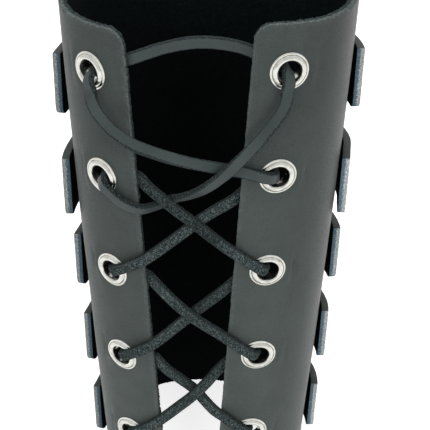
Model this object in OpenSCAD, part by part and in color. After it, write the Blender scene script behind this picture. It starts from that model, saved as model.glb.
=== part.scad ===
// Leather gauntlet: a sheet wrapped round the forearm, laced up the front through metal eyelets,
// with five plates across the back that tilt on rivets at their ends.
// Millimetres, Z up, standing on the wrist end. -Y is the laced front, +Y the back of the arm.

/* [Wrapped sheet] */
// Height of the sheet at its left edge
left_h = 211; // [200:1:225]
// How much taller the sheet is cut at its right edge
right_rise = 2.5; // [0:0.5:6]
// Half width over the sheet at the wrist end
wrist_half_w = 42.5; // [38:0.5:47]
// Half width over the sheet at the elbow end
elbow_half_w = 53.6; // [50:0.2:60]
// How much the sides bulge past a straight line halfway up
side_bulge = 0.7; // [0:0.1:2]
// Depth of the left front, from the widest line to the front, at the elbow end
left_front_d = 55.4; // [50:0.2:60]
// Depth of the right front at the elbow end
right_front_d = 46.8; // [43:0.2:54]
// How boxy the front corners are, where 2 is an ellipse
boxiness = 2.77; // [2.4:0.01:3.2]
// Distance of the widest line behind the middle of the part
widest_y = 2.1; // [0:0.1:4]
// Length of the flat stretch of each side behind the widest line
side_flat = 7; // [6.5:0.5:12]
// Depth of the rounded back behind the flat sides at the elbow end
back_d = 39.5; // [34:0.5:44]
// Thickness of the sheet
sheet_t = 3; // [2.6:0.1:3.6]
// Radius of the sheet's corners beside the front gap
sheet_corner_r = 6; // [3:0.5:9]
// Width of the front gap at the wrist end
wrist_gap = 19.6; // [16:0.2:26]
// Width of the front gap at the elbow end
elbow_gap = 43.6; // [36:0.2:48]

/* [Eyelets] */
// Rows of eyelets
eyelet_rows = 5; // [5:1:5]
// Spacing of the rows
eyelet_pitch = 40.8; // [38:0.2:42]
// Distance of the first row below the top edge
eyelet_top = 17; // [14:0.5:20]
// Distance of the left eyelets from the left edge, measured across the front
left_inset = 13.3; // [12:0.1:15]
// Distance of the right eyelets from the right edge, measured across the front
right_inset = 12.3; // [11.5:0.1:15]
// Hole through an eyelet
eyelet_hole_d = 8; // [7.4:0.1:8.6]
// Diameter of an eyelet's flange and of its washer
eyelet_flange_d = 14; // [13:0.1:15.4]
// Height of the flange's crown
eyelet_crown_h = 1.5; // [1.1:0.1:2]
// Thickness of the eyelet's metal
eyelet_metal_t = 0.4; // [0.3:0.05:0.5]
// Thickness of the washer under the rolled end
washer_t = 0.5; // [0.4:0.1:0.8]
// Length of the end that is rolled over the washer
eyelet_roll_h = 0.7; // [0.5:0.1:1]
// How far a flange is pressed into the leather
eyelet_sink = 0.35; // [0.2:0.05:0.5]

/* [Plates] */
// Height of a plate at its ends
plate_end_h = 25; // [22:0.5:28]
// Height of the first plate's upper edge at its ends
plate_first_z = 187; // [184:0.5:189]
// Spacing of the plates
plate_pitch = 39.5; // [38:0.1:39.9]
// How far each plate's left end reaches in front of the widest line
left_reach = [19, 26, 16, 15, 14];
// How far each plate's right end reaches in front of the widest line, behind it where less than 0
right_reach = [-8, 6, -8, -5, -5];
// How far the upper edge climbs at the back, under the plate above
plate_rise = 15; // [12:0.5:18]
// How far the lower edge drops at the back
plate_drop = 3; // [0:0.5:3.5]
// Thickness of a plate
plate_t = 3; // [2.5:0.1:3.4]
// Radius of the lower corners at a plate's ends
plate_corner_r = 3; // [2:0.5:5]
// Gap between a plate and the sheet at the rivets
plate_gap = 0.3; // [0.25:0.05:0.5]
// Gap between a plate's left end and the sheet at the upper corner
left_gap_top = 1.8; // [1:0.1:2.4]
// Gap between a plate's left end and the sheet at the lower corner
left_gap_bottom = 2.7; // [1.5:0.1:3.4]
// Gap between a plate's right end and the sheet at the upper corner
right_gap_top = 1.2; // [1:0.1:1.6]
// Gap between a plate's right end and the sheet at the lower corner
right_gap_bottom = 2; // [1.5:0.1:2.2]
// Gap between a plate and the sheet at the back, along the upper edge
back_gap_top = 1.7; // [1.5:0.1:2.2]
// Spare room between a plate and the one that it overlaps
overlap_room = 1.4; // [1:0.1:2]

/* [Rivets] */
// Distance of the left rivets behind the widest line
rivet_y = 2; // [0:0.5:2.5]
// Turn of the right rivets round the back, in degrees from the flat of the side
right_rivet_turn = 25; // [22:0.5:28]
// Distance of the rivets below the upper edge of a plate's end
rivet_drop = 9; // [8:0.5:11]
// Diameter of a rivet's post
rivet_post_d = 3.3; // [2.8:0.1:3.6]
// Diameter of a rivet's caps
rivet_cap_d = 9; // [8:0.5:10]
// Height of a rivet's caps
rivet_cap_h = 1.5; // [1.2:0.1:2]
// How far a cap is pressed into the leather
rivet_sink = 0.3; // [0.25:0.05:0.5]
// Radial room round a rivet's post
rivet_room = 0.07; // [0.05:0.01:0.09]

/* [Lace] */
// Width of the flat lace
lace_w = 4.2; // [3.6:0.1:4.6]
// Thickness of the lace
lace_t = 2.2; // [1.8:0.1:2.4]

/* [Hidden] */
$fn = 48;
corner_steps = 4;
front_steps = 9;
end_steps = 4;
cap_steps = 3;
back_steps = 22;
sheet_rows = 10;
plate_rows = 5;
fit_gap = 0.1;
lace_gap = 0.35;
seat_room = 0.15;
cut_h = 6;
right_h = left_h + right_rise;

leather_color = [0.20, 0.205, 0.21];
plate_color = [0.17, 0.18, 0.20];
nickel_color = [0.80, 0.80, 0.78];
rivet_color = [0.30, 0.30, 0.31];
lace_color = [0.12, 0.125, 0.13];

// The sheet's outline at height z. Everything that lies on the sheet is placed from it.
function mix(a, b, t) = a + (b - a) * t;
function ease(t) = let (u = min(1, max(0, t))) u * u * (3 - 2 * u);
function unit(v) = v / norm(v);
function half_w(z) =
    let (t = z / left_h) mix(wrist_half_w, elbow_half_w, t) + side_bulge * 4 * t * (1 - t);
function swell(z) = half_w(z) / elbow_half_w;
function half_gap(z) = mix(wrist_gap, elbow_gap, z / left_h) / 2;
function back_r(z) = back_d * swell(z);

// The front is a rounded box whose depth runs from the left value to the right one across the gap.
function share(t) = min(1, max(0, t));
function front_d(x, z) =
    let (g = half_gap(z)) mix(left_front_d, right_front_d, share((x + g) / (2 * g))) * swell(z);
function front_xy(x, z) =
    [x, -front_d(x, z) * pow(1 - pow(abs(x) / half_w(z), boxiness), 1 / boxiness)];
function side_xy(side, y, z) =
    let (d = front_d(side * half_w(z), z))
    [side * half_w(z) * (y >= 0 ? 1 : pow(1 - pow(-y / d, boxiness), 1 / boxiness)), y];
function back_xy(turn, z) = [half_w(z) * cos(turn), side_flat + back_r(z) * sin(turn)];

// A station is [kind, side, value]: a place on the outline that keeps its meaning at every height.
EDGE = 0;
FRONT = 1;
SIDE = 2;
BACK = 3;
function front_ray(side, turn, z) =
    let (d = front_d(side * half_w(z), z),
         r = pow(pow(cos(turn) / half_w(z), boxiness) + pow(sin(turn) / d, boxiness), -1 / boxiness))
    [side * r * cos(turn), -r * sin(turn)];
function ray_turn(side, z) =
    let (p = front_xy(side * (half_gap(z) + sheet_corner_r), z)) atan2(-p.y, abs(p.x));
function outline(s, z) =
    s[0] == EDGE ? front_xy(s[1] * (half_gap(z) + s[2]), z) :
    s[0] == FRONT ? front_ray(s[1], ray_turn(s[1], z) * s[2], z) :
    s[0] == SIDE ? side_xy(s[1], s[2], z) : back_xy(s[2], z);

// Outward direction of the outline at p, level and then with the lean of the wall.
function outward(p, z) =
    let (w = half_w(z), d = front_d(p.x, z), e = boxiness - 1)
    p.y < 0 ? unit([sign(p.x) * pow(abs(p.x) / w, e) / w, -pow(-p.y / d, e) / d]) :
    p.y <= side_flat ? [sign(p.x), 0] :
    unit([p.x / (w * w), (p.y - side_flat) / pow(back_r(z), 2)]);
function lifted(p, z, lift) = let (q = p + lift * outward(p, z)) [q.x, widest_y + q.y, z];
function on_sheet(s, z, lift) = lifted(outline(s, z), z, lift);
function on_front(x, z, lift) = lifted(front_xy(x, z), z, lift);
function front_normal(x, z) =
    let (dz = 4,
         up = on_front(x, z + dz, 0) - on_front(x, z - dz, 0),
         n = outward(front_xy(x, z), z))
    unit(cross(up, cross([n.x, n.y, 0], up)));

// A closed wall from a grid of outer points and a grid of inner points, column by column.
module wall(outer, inner) {
    cols = len(outer);
    rows = len(outer[0]);
    count = cols * rows;
    function o(i, j) = i * rows + j;
    function n(i, j) = count + i * rows + j;
    function quad(a, b, c, d) = [[a, b, c], [a, c, d]];
    polyhedron(
        points = concat([for (c = outer) for (p = c) p], [for (c = inner) for (p = c) p]),
        faces = concat(
            [for (i = [0:cols - 2]) for (j = [0:rows - 2])
                each quad(o(i, j), o(i, j + 1), o(i + 1, j + 1), o(i + 1, j))],
            [for (i = [0:cols - 2]) for (j = [0:rows - 2])
                each quad(n(i, j), n(i + 1, j), n(i + 1, j + 1), n(i, j + 1))],
            [for (i = [0:cols - 2]) each concat(
                quad(o(i, 0), o(i + 1, 0), n(i + 1, 0), n(i, 0)),
                quad(o(i, rows - 1), n(i, rows - 1), n(i + 1, rows - 1), o(i + 1, rows - 1)))],
            [for (j = [0:rows - 2]) each concat(
                quad(o(0, j), n(0, j), n(0, j + 1), o(0, j + 1)),
                quad(o(cols - 1, j), o(cols - 1, j + 1), n(cols - 1, j + 1), n(cols - 1, j)))]));
}

// Stations of the sheet, from the left edge round the back to the right edge.
corner_turns = [for (i = [0:corner_steps]) 90 * i / corner_steps];
left_stations = concat(
    [for (t = corner_turns) [EDGE, -1, sheet_corner_r * (1 - cos(t))]],
    [for (i = [1:front_steps]) [FRONT, -1, 1 - i / front_steps]]);
sheet_stations = concat(
    left_stations,
    [for (i = [0:back_steps]) [BACK, 0, 180 * (1 - i / back_steps)]],
    [for (i = [len(left_stations) - 1:-1:0]) [left_stations[i][0], 1, left_stations[i][2]]]);
function sheet_trim(s) =
    s[0] == EDGE ? sheet_corner_r - sqrt(max(0, s[2] * (2 * sheet_corner_r - s[2]))) : 0;
function sheet_top(i) = mix(left_h, right_h, i / (len(sheet_stations) - 1));

// Places of the eyelets and rivets.
function eyelet_x(side, z) = side * (half_gap(z) + (side < 0 ? left_inset : right_inset));
function eyelet_z(side, row) = (side < 0 ? left_h : right_h) - eyelet_top - eyelet_pitch * (row - 1);
function plate_top(k) = plate_first_z - plate_pitch * (k - 1);
function rivet_z(k) = plate_top(k) - rivet_drop;
function rivet_xy(side, z) = side < 0 ? side_xy(-1, rivet_y, z) : back_xy(right_rivet_turn, z);
eyelet_barrel_r = eyelet_hole_d / 2 + eyelet_metal_t;
eyelet_grip = sheet_t - eyelet_sink;
rivet_outer_x = plate_gap + plate_t - rivet_sink;
rivet_inner_x = sheet_t - rivet_sink;

// Puts its children at an eyelet, with Z along the hole and 0 at the flange's seat.
module at_eyelet(side, row) {
    z = eyelet_z(side, row);
    x = eyelet_x(side, z);
    n = front_normal(x, z);
    translate(on_front(x, z, 0) - eyelet_sink * n)
        rotate([0, acos(n.z), atan2(n.y, n.x)])
            children();
}

// Puts its children at a rivet, with Z outwards along the rivet and 0 at the sheet's outer face.
module at_rivet(side, k) {
    z = rivet_z(k);
    p = rivet_xy(side, z);
    n = outward(p, z);
    translate(lifted(p, z, 0))
        rotate([0, 90, atan2(n.y, n.x)])
            children();
}

module eyelet_cut() {
    translate([0, 0, -cut_h])
        cylinder(r = eyelet_barrel_r + fit_gap, h = 2 * cut_h);
    cylinder(r = eyelet_flange_d / 2 + seat_room, h = cut_h);
    translate([0, 0, -eyelet_grip - cut_h])
        cylinder(r = eyelet_flange_d / 2 + seat_room, h = cut_h);
}

module leather_wrap() {
    color(leather_color)
        difference() {
            wall(
                [for (i = [0:len(sheet_stations) - 1]) sheet_column(i, 0)],
                [for (i = [0:len(sheet_stations) - 1]) sheet_column(i, -sheet_t)]);
            for (side = [-1, 1])
                for (row = [1:eyelet_rows])
                    at_eyelet(side, row)
                        eyelet_cut();
            for (side = [-1, 1])
                for (k = [1:len(left_reach)])
                    at_rivet(side, k) {
                        translate([0, 0, -cut_h])
                            cylinder(d = rivet_post_d + 2 * rivet_room, h = 2 * cut_h);
                        translate([0, 0, -rivet_inner_x - cut_h])
                            cylinder(r = rivet_cap_d / 2 + seat_room, h = cut_h);
                    }
        }
}

function sheet_column(i, lift) =
    let (s = sheet_stations[i], trim = sheet_trim(s))
    [for (j = [0:sheet_rows]) on_sheet(s, mix(trim, sheet_top(i) - trim, j / sheet_rows), lift)];

// The rolled edge of the flange is a half circle, which the crown meets over the barrel.
module eyelet() {
    flange_r = eyelet_flange_d / 2;
    hole_r = eyelet_hole_d / 2;
    crown_share = 0.42;
    throat_share = 0.4;
    lip_h = 0.35;
    crown_r = mix(hole_r, flange_r, crown_share);
    roll_r = eyelet_barrel_r + eyelet_roll_h;
    end = -eyelet_grip - washer_t;
    color(nickel_color)
        rotate_extrude()
            polygon(concat(
                [[hole_r, end - eyelet_roll_h / 2]],
                [for (a = [0:30:90])
                    [mix(crown_r, hole_r, cos(a)), eyelet_crown_h * mix(throat_share, 1, sin(a))]],
                [for (a = [60:-30:0])
                    [mix(crown_r, flange_r, cos(a)), mix(lip_h, eyelet_crown_h, sin(a))]],
                [[flange_r, 0], [eyelet_barrel_r, 0], [eyelet_barrel_r, end], [roll_r, end]],
                [for (a = [30:30:90])
                    [mix(hole_r, roll_r, cos(a)), end - eyelet_roll_h * sin(a)]]));
}

module washer() {
    color(nickel_color)
        translate([0, 0, -eyelet_grip - washer_t])
            difference() {
                cylinder(d = eyelet_flange_d, h = washer_t);
                translate([0, 0, -cut_h])
                    cylinder(r = eyelet_barrel_r + fit_gap, h = 2 * cut_h);
            }
}

// A plate's stations run from its left end round the back to its right end. It lies close to the
// sheet under the rivets' caps, from cap_front to cap_back behind the widest line, and these pairs
// hold the left side's value and the right side's.
right_rivet_y = side_flat + back_d * sin(right_rivet_turn);
right_span = 1.15 * rivet_cap_d / 2;
cap_front = [rivet_y - rivet_cap_d / 2, right_rivet_y - right_span];
cap_back = [rivet_y + rivet_cap_d / 2, right_rivet_y + right_span];
function end_y(side, k) = side == 0 ? -left_reach[k - 1] : -right_reach[k - 1];
function turn_behind(y) = asin((y - side_flat) / back_d);
function side_station(side, y) =
    y <= side_flat ? [SIDE, side == 0 ? -1 : 1, y] :
    [BACK, 0, side == 0 ? 180 - turn_behind(y) : turn_behind(y)];
function plate_side(side, k) =
    let (end = end_y(side, k), inner = end + plate_corner_r)
    [for (y = concat(
        [for (t = corner_turns) end + plate_corner_r * (1 - cos(t))],
        [for (i = [1:end_steps]) mix(inner, cap_front[side], i / end_steps)],
        [for (i = [1:cap_steps]) mix(cap_front[side], cap_back[side], i / cap_steps)]))
        side_station(side, y)];
function reversed(v) = [for (i = [len(v) - 1:-1:0]) v[i]];

// Turns of the back where the plate leaves each cap, and over which it comes to stand off and to
// climb to its full height.
leave_turn = [0, turn_behind(cap_back[1])];
climb_turn = [8, leave_turn[1]];
full_turn = [38, 25];
end_gap_top = [left_gap_top, right_gap_top];
end_gap_bottom = [left_gap_bottom, right_gap_bottom];
function plate_stations(k) =
    let (from = 180 - leave_turn[0], to = leave_turn[1])
    concat(
        plate_side(0, k),
        [for (i = [0:back_steps]) let (turn = mix(from, to, i / back_steps))
            if (turn > to) [BACK, 0, turn]],
        reversed(plate_side(1, k)));

// Share of the way from a cap to where the plate stands off the sheet, at its ends and at the back.
function side_of(s) = (s[0] == BACK ? s[2] > 90 : s[1] < 0) ? 0 : 1;
function behind(s) = s[0] == BACK ? side_flat + back_d * sin(s[2]) : s[2];
function at_end(s) = behind(s) < cap_front[side_of(s)];
function back_turn(s) = s[0] == BACK ? min(s[2], 180 - s[2]) : 0;
function stand_off(s, k) =
    let (side = side_of(s), front = cap_front[side], past = back_turn(s) - leave_turn[side])
    at_end(s) ? pow((front - behind(s)) / (front - end_y(side, k)), 1.5) :
    ease(past / full_turn[side]);
function climb(s) =
    let (start = climb_turn[side_of(s)]) ease((back_turn(s) - start) / (90 - start));
function end_trim(s, k) =
    let (e = max(0, behind(s) - end_y(side_of(s), k)))
    e < plate_corner_r ? plate_corner_r - sqrt(e * (2 * plate_corner_r - e)) : 0;

// The slope that lifts the lower edge over the plate below.
plate_h = plate_end_h + plate_rise + plate_drop;
plate_lean = (plate_t + overlap_room) / plate_pitch;
function plate_lift(s, k, t) =
    let (far = at_end(s) ? mix(end_gap_top[side_of(s)], end_gap_bottom[side_of(s)], t) :
             back_gap_top + plate_lean * plate_h * t)
    mix(plate_gap, far, stand_off(s, k));
function plate_column(s, k, extra) =
    let (top = plate_top(k) + plate_rise * climb(s),
         bottom = plate_top(k) - plate_end_h - plate_drop * climb(s) + end_trim(s, k))
    [for (j = [0:plate_rows])
        let (t = 1 - j / plate_rows)
        on_sheet(s, mix(top, bottom, t), plate_lift(s, k, t) + extra)];

module plate(k) {
    stations = plate_stations(k);
    color(plate_color)
        difference() {
            wall(
                [for (s = stations) plate_column(s, k, plate_t)],
                [for (s = stations) plate_column(s, k, 0)]);
            for (side = [-1, 1])
                at_rivet(side, k) {
                    translate([0, 0, -cut_h])
                        cylinder(d = rivet_post_d + 2 * rivet_room, h = 3 * cut_h);
                    translate([0, 0, rivet_outer_x])
                        cylinder(r = rivet_cap_d / 2 + seat_room, h = cut_h);
                }
        }
}

// A low domed cap, flat side at 0.
module rivet_cap() {
    rim_h = 0.4;
    rotate_extrude()
        polygon(concat(
            [[0, 0], [rivet_cap_d / 2, 0]],
            [for (a = [0:15:90])
                [rivet_cap_d / 2 * cos(a), rim_h + (rivet_cap_h - rim_h) * sin(a)]]));
}

socket_h = 0.7;
module rivet_pair(k) {
    color(rivet_color)
        for (side = [-1, 1])
            at_rivet(side, k) {
                translate([0, 0, rivet_outer_x + fit_gap])
                    rivet_cap();
                translate([0, 0, -rivet_inner_x - socket_h])
                    cylinder(d = rivet_post_d, h = rivet_inner_x + socket_h + rivet_outer_x + 2 * fit_gap);
            }
}

module rivet_cap_pair(k) {
    color(rivet_color)
        for (side = [-1, 1])
            at_rivet(side, k)
                translate([0, 0, -rivet_inner_x])
                    difference() {
                        rotate([180, 0, 0])
                            rivet_cap();
                        translate([0, 0, -socket_h])
                            cylinder(d = rivet_post_d, h = cut_h);
                    }
}

// The lace is one flat strip. A route entry is [point, hint, across]: the hint is the strip's width
// direction where across is true, and otherwise the direction that its face looks in.
function free_point(p) =
    let (f = front_xy(p[0], p[1]), n = outward(f, p[1]))
    [lifted(f, p[1], p[2]), [n.x, n.y, 0], false];
function level_of(n) = unit(cross([0, 0, 1], n));
function hole_point(side, row, way, step) =
    let (z = eyelet_z(side, row),
         x = eyelet_x(side, z),
         n = front_normal(x, z),
         across = level_of(n),
         up = cross(n, across),
         d = unit(way),
         travel = d.x * across + d.y * up)
    [on_front(x, z, 0) + travel * step[0] + n * (step[1] - eyelet_sink), cross(n, travel), true];

// The route's typed lengths are for an 8 mm hole, and grow with it.
route_scale = eyelet_hole_d / 8;
function grown(v) = [for (x = v) route_scale * x];

// Steps through a hole, as [distance from its axis, height over the flange's seat].
lace_half = lace_t / 2;
over_flange = eyelet_crown_h + lace_gap + lace_half;
under_roll = eyelet_grip + washer_t + eyelet_roll_h + lace_gap + lace_half;
mouth_dip = 0.2;
out_steps = [[5.6 * route_scale, over_flange], [3.3 * route_scale, over_flange - mouth_dip],
    grown([1.5, 1.3]), grown([0.2, -0.8])];
in_steps = [grown([0.2, -2.6]), grown([1.5, -4.5]),
    [3.8 * route_scale, -under_roll], [7 * route_scale, -under_roll]];
steps = concat(out_steps, in_steps);
turned = [0, 0, 0.15, 0.4, 0.6, 0.85, 1, 1];
function into(side, row, from, to) =
    [for (i = [0:len(steps) - 1])
        hole_point(side, row, mix(unit(from), unit(to), turned[i]), steps[i])];
function at_eyelet_xz(side, row) = let (z = eyelet_z(side, row)) [eyelet_x(side, z), z];

// Runs that come out behind an edge, cross the gap and go into the next eyelet:
// [side, row, drop behind the edge, lift a quarter of the way over, lift where the two runs meet].
runs = [[-1, 2, -0.8, -2.9, -1.3], [1, 2, -10, -5.5, -5.4],
    [-1, 3, -3, -1.4, 0.8], [1, 3, -9, -4, -3.2],
    [-1, 4, -2.5, -4.2, -3.5], [1, 4, -8, -1.2, 1]];
function run_of(side, row) = [for (r = runs) if (r[0] == side && r[1] == row) r][0];
function run_start(r) =
    let (z = eyelet_z(r[0], r[1]) + route_scale * r[2]) [r[0] * half_gap(z), z];
function run_end(r) = at_eyelet_xz(-r[0], r[1] + 1);
function met(a, b, c, d) =
    let (u = b - a, v = d - c, k = u.x * v.y - u.y * v.x, w = c - a)
    a + u * (w.x * v.y - w.y * v.x) / k;
function at_x(a, b, x) = let (t = (x - a.x) / (b.x - a.x)) [x, mix(a.y, b.y, t)];

// Where a run passes the two edges: the distance behind the first one and in front of it, the
// distance to either side of the second one, and the lifts at these four places.
edge_behind = 1.5 * route_scale;
edge_clear = 3 * route_scale;
edge_lap = 2 * route_scale;
behind_lift = -(sheet_t + lace_gap + lace_half + 0.95 * route_scale);
clear_lift = -(sheet_t + lace_gap + lace_half + 0.05 * route_scale);
reach_lift = lace_half + 0.6 * route_scale;
onto_lift = lace_half + route_scale;
function crossing(side, row) =
    let (r = run_of(side, row), o = run_of(-side, row),
         a = run_start(r), b = run_end(r),
         m = met(a, b, run_start(o), run_end(o)),
         g = half_gap(b.y),
         behind = at_x(a, b, a.x + side * edge_behind),
         clear = at_x(a, b, a.x - side * edge_clear),
         reach = at_x(a, b, -side * (g - edge_lap)),
         onto = at_x(a, b, -side * (g + edge_lap)),
         q = (clear + m) / 2,
         h = (m + reach) / 2,
         lifts = grown([r[3], r[4]]))
    [for (p = [[behind.x, behind.y, behind_lift], [clear.x, clear.y, clear_lift],
               [q.x, q.y, lifts[0]], [m.x, m.y, lifts[1]], [h.x, h.y, (lifts[1] + reach_lift) / 2],
               [reach.x, reach.y, reach_lift], [onto.x, onto.y, onto_lift]])
        free_point(p)];

// Directions, as [across, up], from an eyelet to the stretch of lace outside and inside.
function way_in(side, row) = run_start(run_of(side, row)) - at_eyelet_xz(side, row);
function way_out(side, row) = run_start(run_of(-side, row - 1)) - at_eyelet_xz(side, row);

// The slack at the elbow end: a bight inside, and a loose loop from each first eyelet to the second
// one opposite. A point is [share of the way across, share of the way down, lift], and in the bight
// [share of the way across, rise, lift].
bight = [[0.202, 5, -6.2], [0.343, 7.1, -9.5], [0.506, 8.2, -11.5], [0.67, 7.8, -10], [0.81, 6, -6.7]];
left_loop = [[0.064, 0.235, 5], [0.125, 0.392, 5.5], [0.233, 0.548, 5], [0.363, 0.666, 4],
    [0.532, 0.77, 3.5], [0.693, 0.862, 1.8], [0.824, 0.914, 2.3]];
right_loop = [[0.035, 0.242, 5.5], [0.112, 0.439, 7], [0.204, 0.632, 7], [0.312, 0.83, 6.2],
    [0.419, 0.995, 3.4], [0.534, 1.15, -3.6], [0.626, 1.23, -7.8], [0.703, 1.27, -6.2],
    [0.77, 1.212, 3.2], [0.849, 1.148, 2.6]];
loop_landing = [[-11.5, 3.3], [8, -5]];
bight_way = [12, 5];
function loop_point(side, p) =
    let (a = at_eyelet_xz(side, 1), b = at_eyelet_xz(-side, 2))
    [mix(a.x, b.x, p[0]), mix(a.y, b.y, p[1]), route_scale * p[2]];
function bight_point(p) =
    let (a = at_eyelet_xz(-1, 1), b = at_eyelet_xz(1, 1))
    [mix(a.x, b.x, p[0]), mix(a.y, b.y, p[0]) + route_scale * p[1], route_scale * p[2]];
function loop_way(side, p) = let (q = loop_point(side, p)) [q.x, q.y] - at_eyelet_xz(side, 1);
function first_loop(side, loop) =
    concat(
        reversed(into(side, 1, loop_way(side, loop[0]), [-side * bight_way.x, bight_way.y])),
        [for (p = loop) free_point(loop_point(side, p))],
        into(-side, 2, loop_landing[side < 0 ? 0 : 1], way_in(-side, 2)));

// The cut ends hang inside below the last row, as [distance inwards, drop, lift].
end_drop = [[2, -14, -5.3], [3, -22, -5]];
function end_points(side) =
    let (e = at_eyelet_xz(side, eyelet_rows))
    [for (p = end_drop)
        let (q = grown(p)) free_point([e.x - side * q[0], e.y + q[1], q[2]])];
function last_way(side) = [-side * end_drop[0][0], end_drop[0][1]];
function next_eyelet(side, row) =
    into(side, row, way_out(side, row), row == eyelet_rows ? last_way(side) : way_in(side, row));
function half_route(side, loop) =
    concat(
        first_loop(side, loop),
        [for (row = [2:eyelet_rows - 1])
            let (here = row % 2 == 0 ? -side : side)
            each concat(crossing(here, row), next_eyelet(-here, row + 1))],
        end_points(eyelet_rows % 2 == 0 ? -side : side));
route = concat(
    reversed(half_route(-1, left_loop)),
    [for (p = bight) free_point(bight_point(p))],
    half_route(1, right_loop));

// Sweep of the strip, whose width turns steadily and never flips over between two rings.
function along(i) =
    let (a = i > 0 ? unit(route[i][0] - route[i - 1][0]) : [0, 0, 0],
         b = i < len(route) - 1 ? unit(route[i + 1][0] - route[i][0]) : [0, 0, 0])
    unit(a + b);
function width_at(i) =
    let (t = along(i), r = route[i], w = r[2] ? r[1] : cross(r[1], t))
    unit(w - (w * t) * t);
function same_way(w, last) = w * last < 0 ? -w : w;
lace_widths = [for (i = 0, w = width_at(0); i < len(route);
    i = i + 1, w = i < len(route) ? same_way(width_at(i), w) : w) w];
lace_bevel = 0.5;
lace_section = let (w = lace_w / 2, t = lace_t / 2, c = lace_bevel)
    [[w, t - c], [w - c, t], [c - w, t], [-w, t - c], [-w, c - t], [c - w, -t], [w - c, -t], [w, c - t]];

module lace() {
    sides = len(lace_section);
    rings = len(route);
    color(lace_color)
        polyhedron(
            points = [for (i = [0:rings - 1])
                let (w = lace_widths[i], f = cross(along(i), w))
                for (s = lace_section) route[i][0] + s[0] * w + s[1] * f],
            faces = concat(
                [for (i = [0:rings - 2]) for (k = [0:sides - 1])
                    let (a = i * sides + k, b = i * sides + (k + 1) % sides)
                    each [[a, b + sides, b], [a, a + sides, b + sides]]],
                [for (k = [1:sides - 2]) [0, k, k + 1]],
                [for (k = [1:sides - 2]) let (e = (rings - 1) * sides) [e, e + k + 1, e + k]]));
}

leather_wrap();
plate(1);  // plate_1
plate(2);  // plate_2
plate(3);  // plate_3
plate(4);  // plate_4
plate(5);  // plate_5
at_eyelet(-1, 1) eyelet();  // left_eyelet_1
at_eyelet(-1, 2) eyelet();  // left_eyelet_2
at_eyelet(-1, 3) eyelet();  // left_eyelet_3
at_eyelet(-1, 4) eyelet();  // left_eyelet_4
at_eyelet(-1, 5) eyelet();  // left_eyelet_5
at_eyelet(1, 1) eyelet();  // right_eyelet_1
at_eyelet(1, 2) eyelet();  // right_eyelet_2
at_eyelet(1, 3) eyelet();  // right_eyelet_3
at_eyelet(1, 4) eyelet();  // right_eyelet_4
at_eyelet(1, 5) eyelet();  // right_eyelet_5
at_eyelet(-1, 1) washer();  // left_washer_1
at_eyelet(-1, 2) washer();  // left_washer_2
at_eyelet(-1, 3) washer();  // left_washer_3
at_eyelet(-1, 4) washer();  // left_washer_4
at_eyelet(-1, 5) washer();  // left_washer_5
at_eyelet(1, 1) washer();  // right_washer_1
at_eyelet(1, 2) washer();  // right_washer_2
at_eyelet(1, 3) washer();  // right_washer_3
at_eyelet(1, 4) washer();  // right_washer_4
at_eyelet(1, 5) washer();  // right_washer_5
rivet_pair(1);  // plate_1_rivets
rivet_pair(2);  // plate_2_rivets
rivet_pair(3);  // plate_3_rivets
rivet_pair(4);  // plate_4_rivets
rivet_pair(5);  // plate_5_rivets
rivet_cap_pair(1);  // plate_1_rivet_caps
rivet_cap_pair(2);  // plate_2_rivet_caps
rivet_cap_pair(3);  // plate_3_rivet_caps
rivet_cap_pair(4);  // plate_4_rivet_caps
rivet_cap_pair(5);  // plate_5_rivet_caps
lace();
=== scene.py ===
"""Leather gauntlet dressed for its photograph.

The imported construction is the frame. The leather, the metal and the lace are modelled over it with
their finish, and each piece stands where the construction has it. Lengths are in millimetres in the
classes that hold sizes, and in metres in the meshes.
"""

import logging
import math
from collections.abc import Sequence
from dataclasses import dataclass, field
from enum import Enum

import bpy
import numpy as np
from mathutils import Matrix, Vector, noise


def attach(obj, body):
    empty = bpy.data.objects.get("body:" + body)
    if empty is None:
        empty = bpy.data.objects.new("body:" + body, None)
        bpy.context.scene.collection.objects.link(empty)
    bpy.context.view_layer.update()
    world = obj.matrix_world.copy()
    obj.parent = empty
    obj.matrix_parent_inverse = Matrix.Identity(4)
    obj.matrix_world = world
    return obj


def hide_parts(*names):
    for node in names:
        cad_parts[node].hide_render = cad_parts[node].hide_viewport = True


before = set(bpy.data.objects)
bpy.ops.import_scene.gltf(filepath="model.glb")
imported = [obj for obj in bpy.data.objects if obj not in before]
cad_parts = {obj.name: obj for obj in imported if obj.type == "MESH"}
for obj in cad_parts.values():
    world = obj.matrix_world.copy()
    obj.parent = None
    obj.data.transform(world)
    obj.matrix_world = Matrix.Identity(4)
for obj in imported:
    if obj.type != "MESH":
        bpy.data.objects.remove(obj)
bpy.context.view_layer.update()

LOG = logging.getLogger("gauntlet")
MM = 0.001
WRAP_BODY = "wrap"
ROWS = (1, 2, 3, 4, 5)
PLATES = (1, 2, 3, 4, 5)
PUNCH_LENGTH = 13.0
FRAY_LENGTH = 0.8
FRAY_SEED = 5
PRESS_DEPTH = 4.0
LEATHER_ANGLE = 38.0
LACE_ANGLE = 50.0
METAL_ANGLE = 35.0
RIVET_HOLE_R = 1.72
RIVET_HOLE_SIDES = 32
OUTER_SEGMENTS = 3
INNER_SEGMENTS = 2
NO_RIM = 9.0
CLOUD_LOW = 0.3
CLOUD_HIGH = 0.7


class Side(Enum):
    """The two flaps of the sheet, with the sign of their X."""

    LEFT = -1
    RIGHT = 1


class Skin(Enum):
    """Which surface of the leather a face shows, as its material index."""

    GRAIN = 0
    FLESH = 1
    CUT = 2
    # The rounded outer edge: worn, with a painted highlight.
    RUBBED = 3


def mix(a: float, b: float, share: float) -> float:
    """Value at a share of the way from a to b."""
    return a + (b - a) * share


def ease(share: float) -> float:
    """Smooth step from 0 to 1, flat at both ends."""
    t = min(1.0, max(0.0, share))
    return t * t * (3 - 2 * t)


def unit(v: np.ndarray) -> np.ndarray:
    """The vector at length 1."""
    return v / np.linalg.norm(v)


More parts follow.
